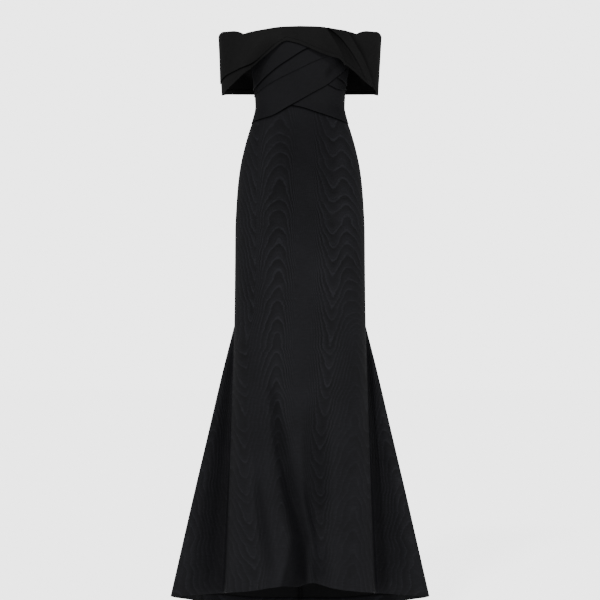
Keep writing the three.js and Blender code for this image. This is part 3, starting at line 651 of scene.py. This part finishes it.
# Moire: the same faille, pressed so that its ribs reflect in nested watered ripples
def makeMoire():
    look = moireLook
    material, tree, _ = newMaterial("pressedMoire")
    uv = addNode(tree, "UVMap", uv_map="clothUv")
    grain, clouds = addFaille(tree, uv)
    height = addNode(tree, "SeparateXYZ", (uv,)).outputs["Y"]
    ripple = addNode(tree, "Attribute", attribute_name="ripple").outputs["Vector"]
    number, slope, clear = addNode(tree, "SeparateXYZ", (ripple,)).outputs
    ribs, rows = [addNode(tree, "TexNoise", {"W": height, "Scale": scale, "Detail": 2.0},
                          noise_dimensions="1D") for scale in (1000 / look["ribSize"],
                                                               look["patches"])]
    patches, uneven, faded = [
        addNode(tree, "TexNoise", {"Vector": uv, "Scale": scale, "Detail": detail})
        for scale, detail in ((1000 / look["patchSize"], 1.0), (look["patches"], 1.0),
                              (look["fades"], 2.0))]
    # each rib is pressed a little aside, which makes the ripples' steep parts ragged, and
    # whole rows and patches lie a little higher or lower
    aside = -(look["jitter"] + look["wander"]) / 2
    for noise, weight in ((ribs, look["jitter"]), (patches, look["wander"])):
        aside = addNode(tree, "Math", (noise, weight, aside), operation="MULTIPLY_ADD")
    place = addNode(tree, "Math", (
        number, (look["patchShift"] + look["rowShift"]) / 2), operation="SUBTRACT")
    for noise, weight in ((uneven, look["patchShift"]), (rows, look["rowShift"]), (slope, aside)):
        place = addNode(tree, "Math", (noise, weight, place), operation="MULTIPLY_ADD")
    within = addNode(tree, "Math", (place,), operation="FRACT")
    profile = setRamp(addNode(tree, "ValToRGB", (within,)), [
        (spot, (tone, tone, tone, 1)) for spot, tone in look["profile"]])
    # where the ripples run steeply they close up into fine even lines
    arched = addNode(tree, "Math", (profile, look["middleTone"]), operation="SUBTRACT")
    turned = addNode(tree, "Math", (place, look["finePlace"]), operation="SUBTRACT")
    turned = addNode(tree, "Math", (turned, 2 * math.pi), operation="MULTIPLY")
    wave = addNode(tree, "Math", (turned,), operation="SINE")
    change = addNode(tree, "Math", (wave, look["fine"]), operation="MULTIPLY")
    change = addNode(tree, "Math", (change, arched), operation="SUBTRACT")
    steep = addNode(tree, "Math", (slope,), operation="ABSOLUTE")
    steep = addNode(tree, "Math", (steep, look["steepFrom"][0], -look["steepFrom"][1]),
                    operation="MULTIPLY_ADD", use_clamp=True)
    figure = addNode(tree, "Math", (change, steep, arched), operation="MULTIPLY_ADD")
    # ribs that were pressed less break the ripples into short dashes
    long, high = look["streak"]
    cut = addNode(tree, "VectorMath", (uv, (1000 / long, 1000 / high, 0)),
                  operation="MULTIPLY")
    streak = addNode(tree, "TexNoise", {"Vector": cut, "Scale": 1.0, "Detail": 2.0})
    for noise, contrast in ((streak, look["dashContrast"]), (faded, look["fadeContrast"])):
        share = addNode(tree, "Math", (noise, contrast, 1 - contrast / 2),
                        operation="MULTIPLY_ADD")
        figure = addNode(tree, "Math", (figure, share), operation="MULTIPLY")
    figure = addNode(tree, "Math", (figure, clear), operation="MULTIPLY")
    # all of it on a middle tone
    total = 0.5 - (look["grain"] + look["dashes"] + look["cloud"]) / 2
    for source, weight in ((grain, look["grain"]), (streak, look["dashes"]),
                           (clouds, look["cloud"]), (figure, look["figure"])):
        total = addNode(tree, "Math", (source, weight, total), operation="MULTIPLY_ADD")
    paintShade(tree, setRamp(addNode(tree, "ValToRGB", (total,)), [
        (0.05, linearColour(look["dark"])), (0.95, linearColour(look["light"]))]))
    return material


bandFaille = makeFaille("bandFaille", bandShadedTone)
bodiceFaille = makeFaille("bodiceFaille", bodiceTone)
moire = makeMoire()
moireReverse = makeFaille("moireReverse", reverseTone)
print("materials made")


# Skirt

skirt = {
    "rows": 210,
    "frontColumns": 170,
    "backColumns": 190,
    "tuck": 8,
    "hemTurn": 30,  # depth of the hem turned up inside
    "hemGap": 1.3,
    "backEdge": -45,
    "crossTurn": -0.135,
    "seam": {"dip": 1.1, "dipWidth": 3.2, "ridge": 0.7, "ridgePlace": 3.6, "ridgeWidth": 2.2},
    "seamChange": (520, 720),  # below the waist, where the dip fades out
    "allowance": 9,
    "edgeShade": 0.9,
    "frontCut": ((0.46, 1.29), 0.53),
    "backCut": ((0.64, 1.34), 0.47),
    "sideShade": (0.08, 780, 900, 1020, 1180),  # depth and heights of the shade at the left
}


def bodiceEdge(turn):
    front = np.where(turn < skirt["crossTurn"], line["over"](turn), line["under"](turn))
    return np.where(np.abs(turn) > 1, skirt["backEdge"], front)


# The front's columns lean to follow the crease, each side evenly, and are upright above it
def leanTurn(turn, z):
    top = creaseTrough["z"][-1], creaseTrough["x"][-1]
    width = mix(form["half"](z), hem["x"](1.0), openAt(z))
    start = math.asin(top[1] / form["half"](top[0])) / (math.pi / 2)
    now = np.arcsin(troughs[0]["x"](z) / width) / (math.pi / 2)
    now = np.where(z > top[0], start, now)
    return np.where(turn < start, mix(-1, now, (turn + 1) / (start + 1)),
                    mix(now, 1, (turn - start) / (1 - start)))


# Zones of the front painted darker, by height: where each starts, is full and ends across the
# cloth, and how deep it is. The first, third and fourth are painted shade in and beside the crease
# and in the troughs, which lie turned from the light; the second makes the top of the middle
# darker.
shadedZones = [
    {"z": [-700, -735, -796, -857, -918, -979, -1040, -1101, -1162, -1240],
     "start": [-92, -92, -82, -86, -86, -76, -61, -36, -40, -60],
     "left": [-74, -74, -64, -54, -44, -33, -25, -16, -28, -46],
     "right": [-68, -68, -58, -48, -38, -25, -8, 13, 12, 8],
     "end": [-50, -50, -36, -20, -8, 5, 20, 31, 32, 28],
     "deep": [0, 0.3, 0.35, 0.4, 0.42, 0.45, 0.45, 0.45, 0.47, 0.55]},
    {"z": [0, -60, -120, -240, -330, -420],
     "start": [-95, -95, -100, -100, -100, -100], "left": [-40, -40, -45, -50, -50, -50],
     "right": [50, 50, 60, 60, 60, 60], "end": [105, 105, 110, 110, 110, 110],
     "deep": [0.18, 0.3, 0.3, 0.22, 0.14, 0]},
    {"z": [-740, -800, -880, -1000, -1060, -1110],
     "start": [0, 0, -4, 6, 14, 20], "left": [22, 20, 14, 16, 22, 30],
     "right": [50, 56, 60, 56, 52, 50], "end": [80, 86, 92, 90, 84, 76],
     "deep": [0, 0.14, 0.28, 0.34, 0.22, 0]},
    {"z": [-930, -1000, -1040, -1100, -1160, -1200],
     "start": [-128, -122, -118, -110, -100, -96], "left": [-118, -112, -108, -98, -88, -84],
     "right": [-110, -104, -98, -88, -78, -74], "end": [-90, -86, -78, -66, -56, -54],
     "deep": [0, 0.25, 0.25, 0.25, 0.15, 0]},
]

# Small drag lines that the table of main forms leaves out
dragLines = [
    # middle x and z, length, width, depth and lean of each
    (-118, -300, 120, 16, 0.9, 0.1),
    (96, -330, 150, 20, 0.8, -0.08),
    (60, -860, 190, 16, 1.5, 0.12),
    (-20, -700, 160, 14, 0.9, -0.15),
    (28, -1080, 150, 12, 2.4, -0.22),
    (84, -1120, 130, 14, 2.0, 0.1),
    (-60, -1080, 150, 13, 2.0, -0.12),
    (-140, -1000, 170, 12, 1.6, -0.05),
    (150, -980, 150, 12, 1.6, 0.05),
]


def dragDepth(points):
    x, z = points[..., 0], points[..., 2]
    depth = np.zeros(x.shape)
    for middleX, middleZ, length, width, deep, lean in dragLines:
        aside = x - middleX - (z - middleZ) * lean
        depth = depth - deep * bell(aside, width) * bell(z - middleZ, length)
    return depth


def skirtSheet(name, turns, zeroTurn):
    share = np.linspace(1, 0, skirt["rows"]) ** 1.12
    outer = cloth["wall"]
    isFront = np.max(np.abs(turns)) <= 1

    def placed(part):
        # the height and turn of a row that is this share of the way from the bodice to the hem
        rough = mix(bodiceEdge(turns), hem["z"](np.abs(turns)), part)
        leant = leanTurn(turns, rough) if isFront else turns
        return leant, mix(bodiceEdge(leant), hem["z"](np.abs(leant)), part)

    leant, hemZ = placed(1.0)
    rows = [(leant, hemZ + skirt["hemTurn"] * up, outer - skirt["hemGap"] + 0 * turns)
            for up in (1, 0.75, 0.5, 0.25, 0.06)]
    radius = skirt["hemGap"] / 2
    for angle in np.linspace(0, math.pi, 6):
        rows.append((leant, hemZ + radius * (1 - np.sin(angle)),
                     outer - radius - radius * np.cos(angle) + 0 * turns))
    for part in share[1:]:
        leant, z = placed(part)
        rows.append((leant, z, outer + 0 * turns))
    rows.append((turns, bodiceEdge(turns) + skirt["tuck"] / 2, outer + 0 * turns))
    rows.append((turns, bodiceEdge(turns) + skirt["tuck"], outer + 0 * turns))
    turn = np.array([row[0] for row in rows])
    heights = np.array([row[1] for row in rows])
    offsets = np.array([row[2] for row in rows])
    points = skirtPoint(turn, heights)
    near = fromSeam(points)
    low = ease(-heights, *skirt["seamChange"])
    offsets += pressedSeam(near, skirt["seam"], 1 - low, 1 + low if isFront else 1 - low)
    if isFront:
        offsets += dragDepth(points)
    figure = wateredBy(frontFigure if isFront else backFigure, isFront)

    # Painted shade: under the bodice's lower edge, on the left back panel, which is turned from
    # the light, and in the front's zones
    def shade(turn, z, points):
        dark = skirt["edgeShade"] * shadeUnder(bodiceEdge(turn), z)
        if np.max(turns) <= -1:
            deep, start, full, leave, end = skirt["sideShade"]
            dark = dark + deep * ease(-z, start, full) * (1 - ease(-z, leave, end))
        if isFront:
            for zone in shadedZones:
                start, left, right, end, deep = (
                    np.interp(-z, -np.array(zone["z"]), zone[key])
                    for key in ("start", "left", "right", "end", "deep"))
                x = points[..., 0]
                dark = dark + deep * ease(x, start, left) * (1 - ease(x, right, end))
        return np.minimum(dark, 1)

    return laySheet(name, skirtPoint, turn, heights, offsets, zeroTurn,
                    allowance=skirt["allowance"], ripples=figure, shade=shade)


frontTurns = spread(skirt["frontColumns"], -1, 1, crease=(-0.26, 0.09), pull=1.6)
skirtFront = skirtSheet("skirtFront", frontTurns, 0)
declare(skirtFront, moire)
skirtPieces = [skirtFront]
backTurns = spread(skirt["backColumns"], 1, 2)
for name, side in halves:
    piece = skirtSheet("skirtBack" + name, backTurns[::side] * side, side)
    declare(piece, moire)
    skirtPieces.append(piece)
for piece in skirtPieces:
    piece.data.materials.append(moireReverse)
    piece.modifiers["wall"].material_offset = 1
print("skirt laid")


# Bodice

bodice = {
    "columns": 150,
    "backColumns": 70,
    "overlap": 12,
    "crisp": 3.6,
    "faint": 2.3,
    "pleatDepth": 7,
    "tuck": 3.6,
    "lowTuck": 2.8,
    "edgeGap": 1.3,
    "edgeTurn": 9,
    "underFrom": -0.18,
    "allowance": 7,
    "backSeam": {"dip": 0.9, "dipWidth": 2.4, "ridge": 0.5, "ridgePlace": 3.4, "ridgeWidth": 1.8},
    "overCut": ((0.36, 0.26), 0.066),
    "underCut": ((0.22, 0.19), 0.024),
    "backCut": ((0.19, 0.23), 0.037),
    # depths of the painted shade under the folded edges and in the dent
    "shade": {"crisp": 0.85, "faint": 0.3, "over": 0.95, "tuck": 0.85, "dent": 0.35},
}
# The dent under the band beside the arm on +X: place, half width and half length, and slope
dent = {"x": 76, "z": 84, "width": 13, "length": 32, "depth": 2.6, "slope": (0.8, 0.6)}


def bodiceLift(turn, z):
    across = ease(turn, -0.34, -0.2)
    above = ease(z - line["over"](turn), 20, 44)
    return cloth["layerStep"] * (1 + across * (1 - above)) + cloth["wall"]


# Rows of one strip between two folded edges, raised at its lower edge
def stripRows(turn, lower, upper, count, lift, rise, sag=1.6):
    rows = []
    for t in np.linspace(0, 1, count)[1:-1]:
        z = mix(lower, upper, t)
        rows.append((z, lift(turn, z) + rise * (1 - t) ** sag))
    return rows


def dentAt(turn, z):
    x, up = bodyPoint(turn, z)[..., 0] - dent["x"], z - dent["z"]
    a, b = dent["slope"]
    return bell(a * x - b * up, dent["width"]) * bell(b * x + a * up, dent["length"])


def overSheet():
    turn = spread(bodice["columns"], -1, 1)
    over, faint, crisp, top = (line[key](turn) for key in ("over", "faint", "crisp", "top"))
    narrow = 1 - 0.7 * ease(turn, 0.35, 0.8)
    outer = bodiceLift(turn, over)
    rows = foldedEdge(over, bodice["edgeTurn"], outer - bodice["edgeGap"], outer)
    rows += stripRows(turn, over, faint, 22, bodiceLift, 0.0)
    low = bodiceLift(turn, faint)
    rise = bodice["faint"] * narrow
    rows += pleatRows(faint, bodice["pleatDepth"], low, low + rise)
    rows += stripRows(turn, faint, crisp, 14, bodiceLift, rise)
    low = bodiceLift(turn, crisp)
    rise = bodice["crisp"] * narrow
    rows += pleatRows(crisp, bodice["pleatDepth"], low, low + rise)
    rows += stripRows(turn, crisp, np.maximum(top, crisp + 4), 18, bodiceLift, rise, 1.2)
    heights, offsets = stack(rows, len(turn))
    offsets -= dent["depth"] * dentAt(turn, heights)

    # Painted shade under the pleats' folded edges and in the dent under the band
    def shade(turn, z, points):
        fade = 1 - 0.75 * ease(turn, 0.35, 0.8)
        deep = bodice["shade"]
        crisp = deep["crisp"] * shadeUnder(line["crisp"](turn), z, 3.4)
        faint = deep["faint"] * shadeUnder(line["faint"](turn), z, 2.6)
        return fade * np.maximum(crisp, faint) + deep["dent"] * dentAt(turn, z)

    return laySheet("bodiceOver", bodyPoint, turn, heights, offsets,
                    flatRows=True, allowance=bodice["allowance"], shade=shade)


def underSheet():
    turn = spread(bodice["columns"] // 2 + 20, bodice["underFrom"], 1)
    under, over = line["under"](turn), line["over"](turn)
    flat = 0 * turn + cloth["layerStep"] + cloth["wall"]

    def tuckLine(key, above):
        return np.where(turn < bodiceLines[key]["turn"][0], over + above,
                        np.minimum(line[key](turn), over + above))

    def shown(height):
        return np.clip((over - 2 - height) / bodice["overlap"], 0, 1)

    lower = tuckLine("lowerTuck", 3)
    upper = tuckLine("upperTuck", 7)
    lowerRise = bodice["lowTuck"] * shown(lower)
    upperRise = bodice["tuck"] * shown(upper)

    def plain(turn, z):
        return flat

    rows = foldedEdge(under, bodice["edgeTurn"], flat - bodice["edgeGap"], flat)
    rows += stripRows(turn, under, lower, 18, plain, 0.0)
    rows += pleatRows(lower, 5, flat, flat + lowerRise)
    rows += stripRows(turn, lower, upper, 10, plain, lowerRise)
    rows += pleatRows(upper, 5, flat, flat + upperRise)
    rows += stripRows(turn, upper, over + bodice["overlap"], 8, plain, upperRise, 1.0)
    heights, offsets = stack(rows, len(turn))

    # Painted shade under the over panel's folded edge and under the tucks' folded edges
    def shade(turn, z, points):
        deep = bodice["shade"]
        edges = [(line["over"](turn), deep["over"], 3.6)]
        for key in ("lowerTuck", "upperTuck"):
            edge = np.where(turn > bodiceLines[key]["turn"][0], line[key](turn), 400)
            edges.append((edge, deep["tuck"], 3.0))
        return np.max([share * shadeUnder(edge, z, reach) for edge, share, reach in edges], axis=0)

    return laySheet("bodiceUnder", bodyPoint, turn, heights, offsets,
                    flatRows=True, shade=shade)


def bodiceBackSheet(name, turns):
    top = line["top"](np.abs(turns))
    flat = 0 * turns + cloth["layerStep"] + cloth["wall"]
    edge = skirt["backEdge"] + 0 * turns
    rows = foldedEdge(edge, bodice["edgeTurn"], flat - bodice["edgeGap"], flat)
    for t in np.linspace(0, 1, 44)[1:]:
        rows.append((mix(edge, top, t), flat))
    heights, offsets = stack(rows, len(turns))
    points = bodyPoint(turns + 0 * heights, heights)
    offsets += pressedSeam(fromSeam(points), bodice["backSeam"])
    return laySheet(name, bodyPoint, turns, heights, offsets, flatRows=True,
                    allowance=bodice["allowance"])


declare(overSheet(), bodiceFaille)
declare(underSheet(), bodiceFaille)
backTurns = spread(bodice["backColumns"], 1, 2)
for name, side in halves:
    piece = bodiceBackSheet("bodiceBack" + name, backTurns[::side] * side)
    declare(piece, bodiceFaille)
print("bodice laid")


# Band

bandSizes = {
    "roll": 2.5,
    "returnDepth": 22,
    "edgeGap": 1.7,
    "edgeTurn": 12,
    "strip": 9,
    "kept": 3,
    "foldDepth": 5,
    "cuffEnd": (-0.26, -0.15, -0.12),
    "backColumns": 110,
    "frontCut": ((0.62, 0.24), 0.085),
    "backCut": ((0.28, 0.19), 0.05),
}
# A soft hollow in the front on -X, with painted shade laid in it on top of its own shading
bandHollow = {"topTurn": -0.24, "lowTurn": -0.56, "lowZ": 95, "width": 0.15, "depth": 6,
              "fade": 26, "shade": 0.22}
# Slanted folds of the front: turn and rise on both sides, at the top edge and at the free edge.
# An edge that faces +X drops from its first rise to its second, and one that faces -X climbs.
bandFolds = [
    {"top": -1, "low": -1, "topRise": (0, 0), "lowRise": (0, 0)},
    {"top": -0.2, "low": -0.15, "topRise": (0, 0), "lowRise": (0, 0)},
    {"top": 0.279, "low": 0.504, "topRise": (6, 4), "lowRise": (4.6, 2.6)},
    {"top": 0.305, "low": 0.81, "topRise": (0, 3.4), "lowRise": (0, 0.5)},
    {"top": 0.506, "low": 0.887, "topRise": (8, 6), "lowRise": (5, 3.2)},
    {"top": 0.528, "low": 0.898, "topRise": (3.8, 3.8), "lowRise": (2.2, 2.2)},
    {"top": 0.55, "low": 0.91, "topRise": (2.4, 2.4), "lowRise": (1.6, 1.6)},
    {"top": 0.62, "low": 0.935, "topRise": (0.5, 0.5), "lowRise": (0.5, 0.5)},
    {"top": 0.71, "low": 0.955, "topRise": (0, 0), "lowRise": (0, 0)},
    {"top": 1, "low": 1, "topRise": (0, 0), "lowRise": (0, 0)},
]
bandSteps = [60, 44, 14, 26, 4, 4, 8, 8, 30]  # columns from one fold to the next
# Shade beside the folds: turns between which it lies at the top and at the free edge, which side
# of it is sharp, and how deep it is at the top and below
bandShades = [
    {"top": (0.279, 0.305), "low": (0.504, 0.72), "sharp": (0.004, 0.02), "deep": (0.55, 0.1)},
    {"top": (0.292, 0.306), "low": (0.77, 0.812), "sharp": (0.02, 0.003), "deep": (0.6, -0.1)},
    {"top": (0.506, 0.57), "low": (0.887, 0.93), "sharp": (0.004, 0.05), "deep": (0.45, 0.45)},
]


# Columns across the front: for each, its turn and rise at the top and the free edge and how
# far it is shifted along the cloth, round each fold's edge and back under it
def bandColumns():
    columns = []

    def add(top, low, topRise, lowRise, topShift=0.0, lowShift=0.0):
        columns.append((top, low, topRise, lowRise, topShift, lowShift))

    for i, fold in enumerate(bandFolds[:-1]):
        after = bandFolds[i + 1]
        for t in np.linspace(0, 1, bandSteps[i] + 1)[1 if i else 0:-1]:
            topRise = mix(fold["topRise"][1], after["topRise"][0], t)
            lowRise = mix(fold["lowRise"][1], after["lowRise"][0], t)
            add(mix(fold["top"], after["top"], t), mix(fold["low"], after["low"], t), topRise,
                lowRise)
        if i + 2 == len(bandFolds):
            add(after["top"], after["low"], 0, 0)
            break
        if after["topRise"][0] == after["topRise"][1]:
            add(after["top"], after["low"], after["topRise"][0], after["lowRise"][0])
            continue
        for top, share in foldAcross(after["topRise"], after["lowRise"]):
            add(after["top"], after["low"], top[1], share[1], top[0], share[0])
    return np.array(columns)


# Shift and rise of the columns round one fold, at its top and at its low end
def foldAcross(topRise, lowRise):
    ends = []
    falls = topRise[0] > topRise[1]
    for first, second in (topRise, lowRise):
        high, low = max(first, second), min(first, second)
        inner = low + 0.25 * (high - low)
        radius = (high - inner) / 2
        share = np.clip((high - low) / 2.2, 0.02, 1)
        depth = bandSizes["foldDepth"] * share
        path = [(-radius * (1 - math.sin(angle)),
                 (high + inner) / 2 + radius * math.cos(angle))
                for angle in np.linspace(0, math.pi, 7)]
        path.append((-radius - depth * 0.5, inner))
        small = (inner - low) / 2
        for angle in np.linspace(0, math.pi, 4):
            path.append((-radius - depth - small * math.sin(angle),
                         (inner + low) / 2 + small * math.cos(angle)))
        path.append((-depth * 0.5, low))
        path.append((0.4 * share, low))
        if not falls:
            path = [(-shift, rise) for shift, rise in path][::-1]
        path = [(shift + 0.02 * k, rise) for k, (shift, rise) in enumerate(path)]
        ends.append(path)
    return list(zip(*ends))


def bandSheet(name, columns):
    top, low, topRise, lowRise, topShift, lowShift = columns.T
    isFront = np.max(np.abs(top)) <= 1
    reach = bandSizes["roll"]

    def hollow(turn, z):
        low, high = bandHollow["lowZ"], bandHeights["top"]
        middle = mix(bandHollow["lowTurn"], bandHollow["topTurn"],
                     np.clip((z - low) / (high - low), 0, 1))
        fade = bandHollow["fade"]
        kept = ease(z, low - fade, low) * (1 - ease(z, high - 2 * fade, high - fade / 2))
        return bandHollow["depth"] * bell(turn - middle, bandHollow["width"]) * kept

    def cuffZ(turn):
        start, kept, end = bandSizes["cuffEnd"]
        plain = band["free"](turn) + bandSizes["strip"]
        pleat = np.maximum(band["cuff"](turn), band["free"](turn) + bandSizes["kept"])
        return np.where(turn < kept, mix(pleat, plain, ease(turn, start, end)), plain)

    def flapTop(turn):
        return band["top"](np.abs(turn)) - reach

    def row(down, height, offset, keep=1.0):
        turn = mix(top, low, down)
        z = height(turn)
        rise = mix(topRise, lowRise, down) * keep
        shift = mix(topShift, lowShift, down) * keep
        return turn, z, rise + offset(turn, z), shift

    def flat(value):
        return lambda turn, z: -hollow(turn, z) + value

    rows = []
    gap = bandSizes["edgeGap"]
    for up in (1, 0.6, 0.25):
        turnedIn = bandSizes["edgeTurn"] * up
        rows.append(row(1 - 0.1 * up, lambda t: band["free"](t) + gap / 2 + turnedIn * np.clip(
            (cuffZ(t) - band["free"](t)) / 14, 0.3, 1), flat(-gap)))
    for angle in np.linspace(0, math.pi, 7):
        rows.append(row(1, lambda t: band["free"](t) + gap / 2 * (1 - math.sin(angle)),
                        flat(-gap / 2 - gap / 2 * math.cos(angle))))
    for t in np.linspace(0, 1, 8)[1:-1]:
        rows.append(row(mix(1, 0.9, t), lambda turn: mix(band["free"](turn), cuffZ(turn), t),
                        flat(0)))
    # the upper part's folded edge over the strip beside the free edge
    turn = mix(top, low, 0.9)
    cuffRise = np.where(np.abs(turn) <= 1, band["cuffRise"](turn), 0) * 1.25
    edge = cuffZ(turn)
    depth = np.minimum(5, 0.4 * (edge - band["free"](turn))) + 0.5
    for z, offset in pleatRows(edge, depth, 0, cuffRise):
        rows.append(row(0.9, lambda t: z, lambda t, height: offset - hollow(t, height)))
    for t in np.linspace(0, 1, 40)[1:]:
        rows.append(row(mix(0.9, 0.02, t), lambda turn: mix(cuffZ(turn), flapTop(turn), t),
                        lambda turn, z: cuffRise * (1 - t) ** 1.6 - hollow(turn, z)))
    for angle in np.linspace(0, math.pi, 12)[1:]:
        rows.append(row(0, lambda turn: flapTop(turn) + reach * math.sin(angle),
                        lambda turn, z: -reach + reach * math.cos(angle) + 0 * turn,
                        max(0, math.cos(angle)) ** 0.5))
    for t in np.linspace(0, 1, 8)[1:]:
        rows.append(row(0, lambda turn: flapTop(turn) - t * bandSizes["returnDepth"],
                        lambda turn, z: -2 * reach + 0 * turn, 0))
    turns, heights, offsets, shifts = (np.array([r[k] for r in rows]) for k in range(4))

    # Painted shade: under the cuff's folded edge on -X, beside the front's folds and in the hollow
    def shade(turn, z, points):
        down = np.clip((band["top"](np.abs(turn)) - z) /
                       (band["top"](np.abs(turn)) - band["free"](turn)), 0, 1)
        dark = 0.85 * shadeUnder(cuffZ(turn), z, 3.0) * ease(-turn, 0.3, 0.62) * (turn > -1)
        for zone in bandShades if isFront else []:
            left, right = (mix(zone["top"][k], zone["low"][k], down) for k in range(2))
            first, last = zone["sharp"]
            dark = dark + mix(*zone["deep"], down) * ease(turn, left - first, left + first) * (
                1 - ease(turn, right - last, right + last)) * ease(down, 0.01, 0.08)
        if isFront:
            dark = dark + bandHollow["shade"] / bandHollow["depth"] * hollow(turn, z)
        return np.clip(dark, 0, 1)

    return laySheet(name, bandPoint, turns, heights, offsets, shift=shifts, level=True,
                    flatRows=True, shade=shade)


def plainColumns(turns):
    zero = 0 * turns
    return np.stack([turns, turns, zero, zero, zero, zero], -1)


declare(bandSheet("bandFront", bandColumns()), bandFaille)
backTurns = spread(bandSizes["backColumns"], 1, 2)
for name, side in halves:
    piece = bandSheet("bandBack" + name, plainColumns(backTurns[::side] * side))
    declare(piece, bandFaille)
print("band laid")


# Zip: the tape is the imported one, and its teeth stand on its inner face
zipSizes = {"low": -176, "high": 164, "pitch": 3, "width": 4.6, "thick": 1.5, "tall": 1.7,
            "gap": 1, "tape": 1, "step": (12, 40)}


def zipFace(z):
    above = ease(z - skirt["backEdge"], *zipSizes["step"])
    return mix(-zipSizes["gap"], cloth["layerStep"] - zipSizes["gap"], above)


def makeZip():
    # black woven polyester tape
    tape, tree, shape = newMaterial("zipTape")
    place = addNode(tree, "TexCoord").outputs["Object"]
    weave = addNode(tree, "TexNoise", {"Vector": place, "Scale": 900.0, "Detail": 1.0})
    ramp = setRamp(addNode(tree, "ValToRGB", (weave,)), [
        (0, linearColour("#0f0f10")), (1, linearColour("#1a1a1c"))])
    tree.links.new(ramp.outputs[0], shape.inputs["Base Color"])
    shape.inputs["Roughness"].default_value = 0.8
    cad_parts["back_zip"].data.materials.clear()
    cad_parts["back_zip"].data.materials.append(tape)
    # black nylon coil
    coil, tree, shape = newMaterial("zipCoil")
    shape.inputs["Base Color"].default_value = linearColour("#161617")
    shape.inputs["Roughness"].default_value = 0.4
    heights = np.arange(zipSizes["low"], zipSizes["high"], zipSizes["pitch"])
    inner = zipFace(heights) - zipSizes["tape"] - zipSizes["thick"] / 2
    middle = standOff(bodyPoint, 2 + 0 * heights, heights, inner, 0 * heights)
    bm = bmesh.new()
    for x, y, z in middle:
        place = Matrix.Translation(Vector((0, y, z)) * mm) @ Matrix.Diagonal(
            Vector((zipSizes["width"], zipSizes["thick"], zipSizes["tall"], 1000)) * mm)
        bmesh.ops.create_cube(bm, size=1, matrix=place)
    teeth = makeObject("zipTeeth", bm)
    teeth.data.materials.append(coil)
    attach(teeth, "root")


makeZip()
print("zip made")


# Floor, light and camera

room = {
    "floorZ": -1.3605,
    "half": 12.0,
    "floorColour": "#f4f4f4",
    "sky": 0.36,
    "glow": 0.42,  # light that the floor gives back, as a lit studio floor does
    "backdrop": 3.6,  # how bright the paper behind shows, which the film sees as white
    "floorShows": 2.9,
}
lights = {
    "keyLight": {"kind": "SUN", "place": (-1.7, -4.18, 2.8), "target": (0, 0, -0.6),
                 "energy": 1.3, "angle": 0.1},
    "fillLight": {"kind": "AREA", "place": (2.7, -3.8, -0.4), "target": (0, 0, -0.8),
                  "energy": 38, "size": 2.0},
}
view = {"place": (0, -4.5, -0.5018), "lens": 103.85, "sensor": 36}


def makeRoom():
    bm = bmesh.new()
    bmesh.ops.create_grid(bm, x_segments=1, y_segments=1, size=room["half"])
    floor = makeObject("floor", bm)
    floor.data.transform(Matrix.Translation((0, 0, room["floorZ"])))
    material, _, shape = newMaterial("paintedFloor")
    shape.inputs["Base Color"].default_value = linearColour(room["floorColour"])
    shape.inputs["Roughness"].default_value = 0.9
    shape.inputs["Specular IOR Level"].default_value = 0.1
    shape.inputs["Emission Color"].default_value = (1, 1, 1, 1)
    floor.data.materials.append(material)
    world = bpy.data.worlds.new("studio")
    world.use_nodes = True
    bpy.context.scene.world = world
    sky = world.node_tree.nodes["Background"]
    sky.inputs["Color"].default_value = (1, 1, 1, 1)
    # the paper shows brighter than the light that it gives
    for socket, gives, shows in (
            (shape.inputs["Emission Strength"], room["glow"], room["floorShows"]),
            (sky.inputs["Strength"], room["sky"], room["backdrop"])):
        tree = socket.id_data
        seen = addNode(tree, "LightPath").outputs["Is Camera Ray"]
        level = addNode(tree, "Math", (seen, shows - gives, gives), operation="MULTIPLY_ADD")
        tree.links.new(level.outputs[0], socket)


def makeLight(name, light):
    data = bpy.data.lights.new(name, light["kind"])
    data.energy = light["energy"]
    if light["kind"] == "SUN":
        data.angle = light["angle"]
    else:
        data.size = light["size"]
    thing = bpy.data.objects.new(name, data)
    thing.location = light["place"]
    aim = Vector(light["target"]) - Vector(light["place"])
    thing.rotation_euler = aim.to_track_quat("-Z", "Y").to_euler()
    bpy.context.scene.collection.objects.link(thing)


makeRoom()
for name, light in lights.items():
    makeLight(name, light)

camera = bpy.data.objects.new("camera", bpy.data.cameras.new("camera"))
camera.data.sensor_width = view["sensor"]
camera.data.lens = view["lens"]
camera.location = view["place"]
camera.rotation_euler = (math.pi / 2, 0, 0)
bpy.context.scene.collection.objects.link(camera)
bpy.context.scene.camera = camera

print("scene ready")
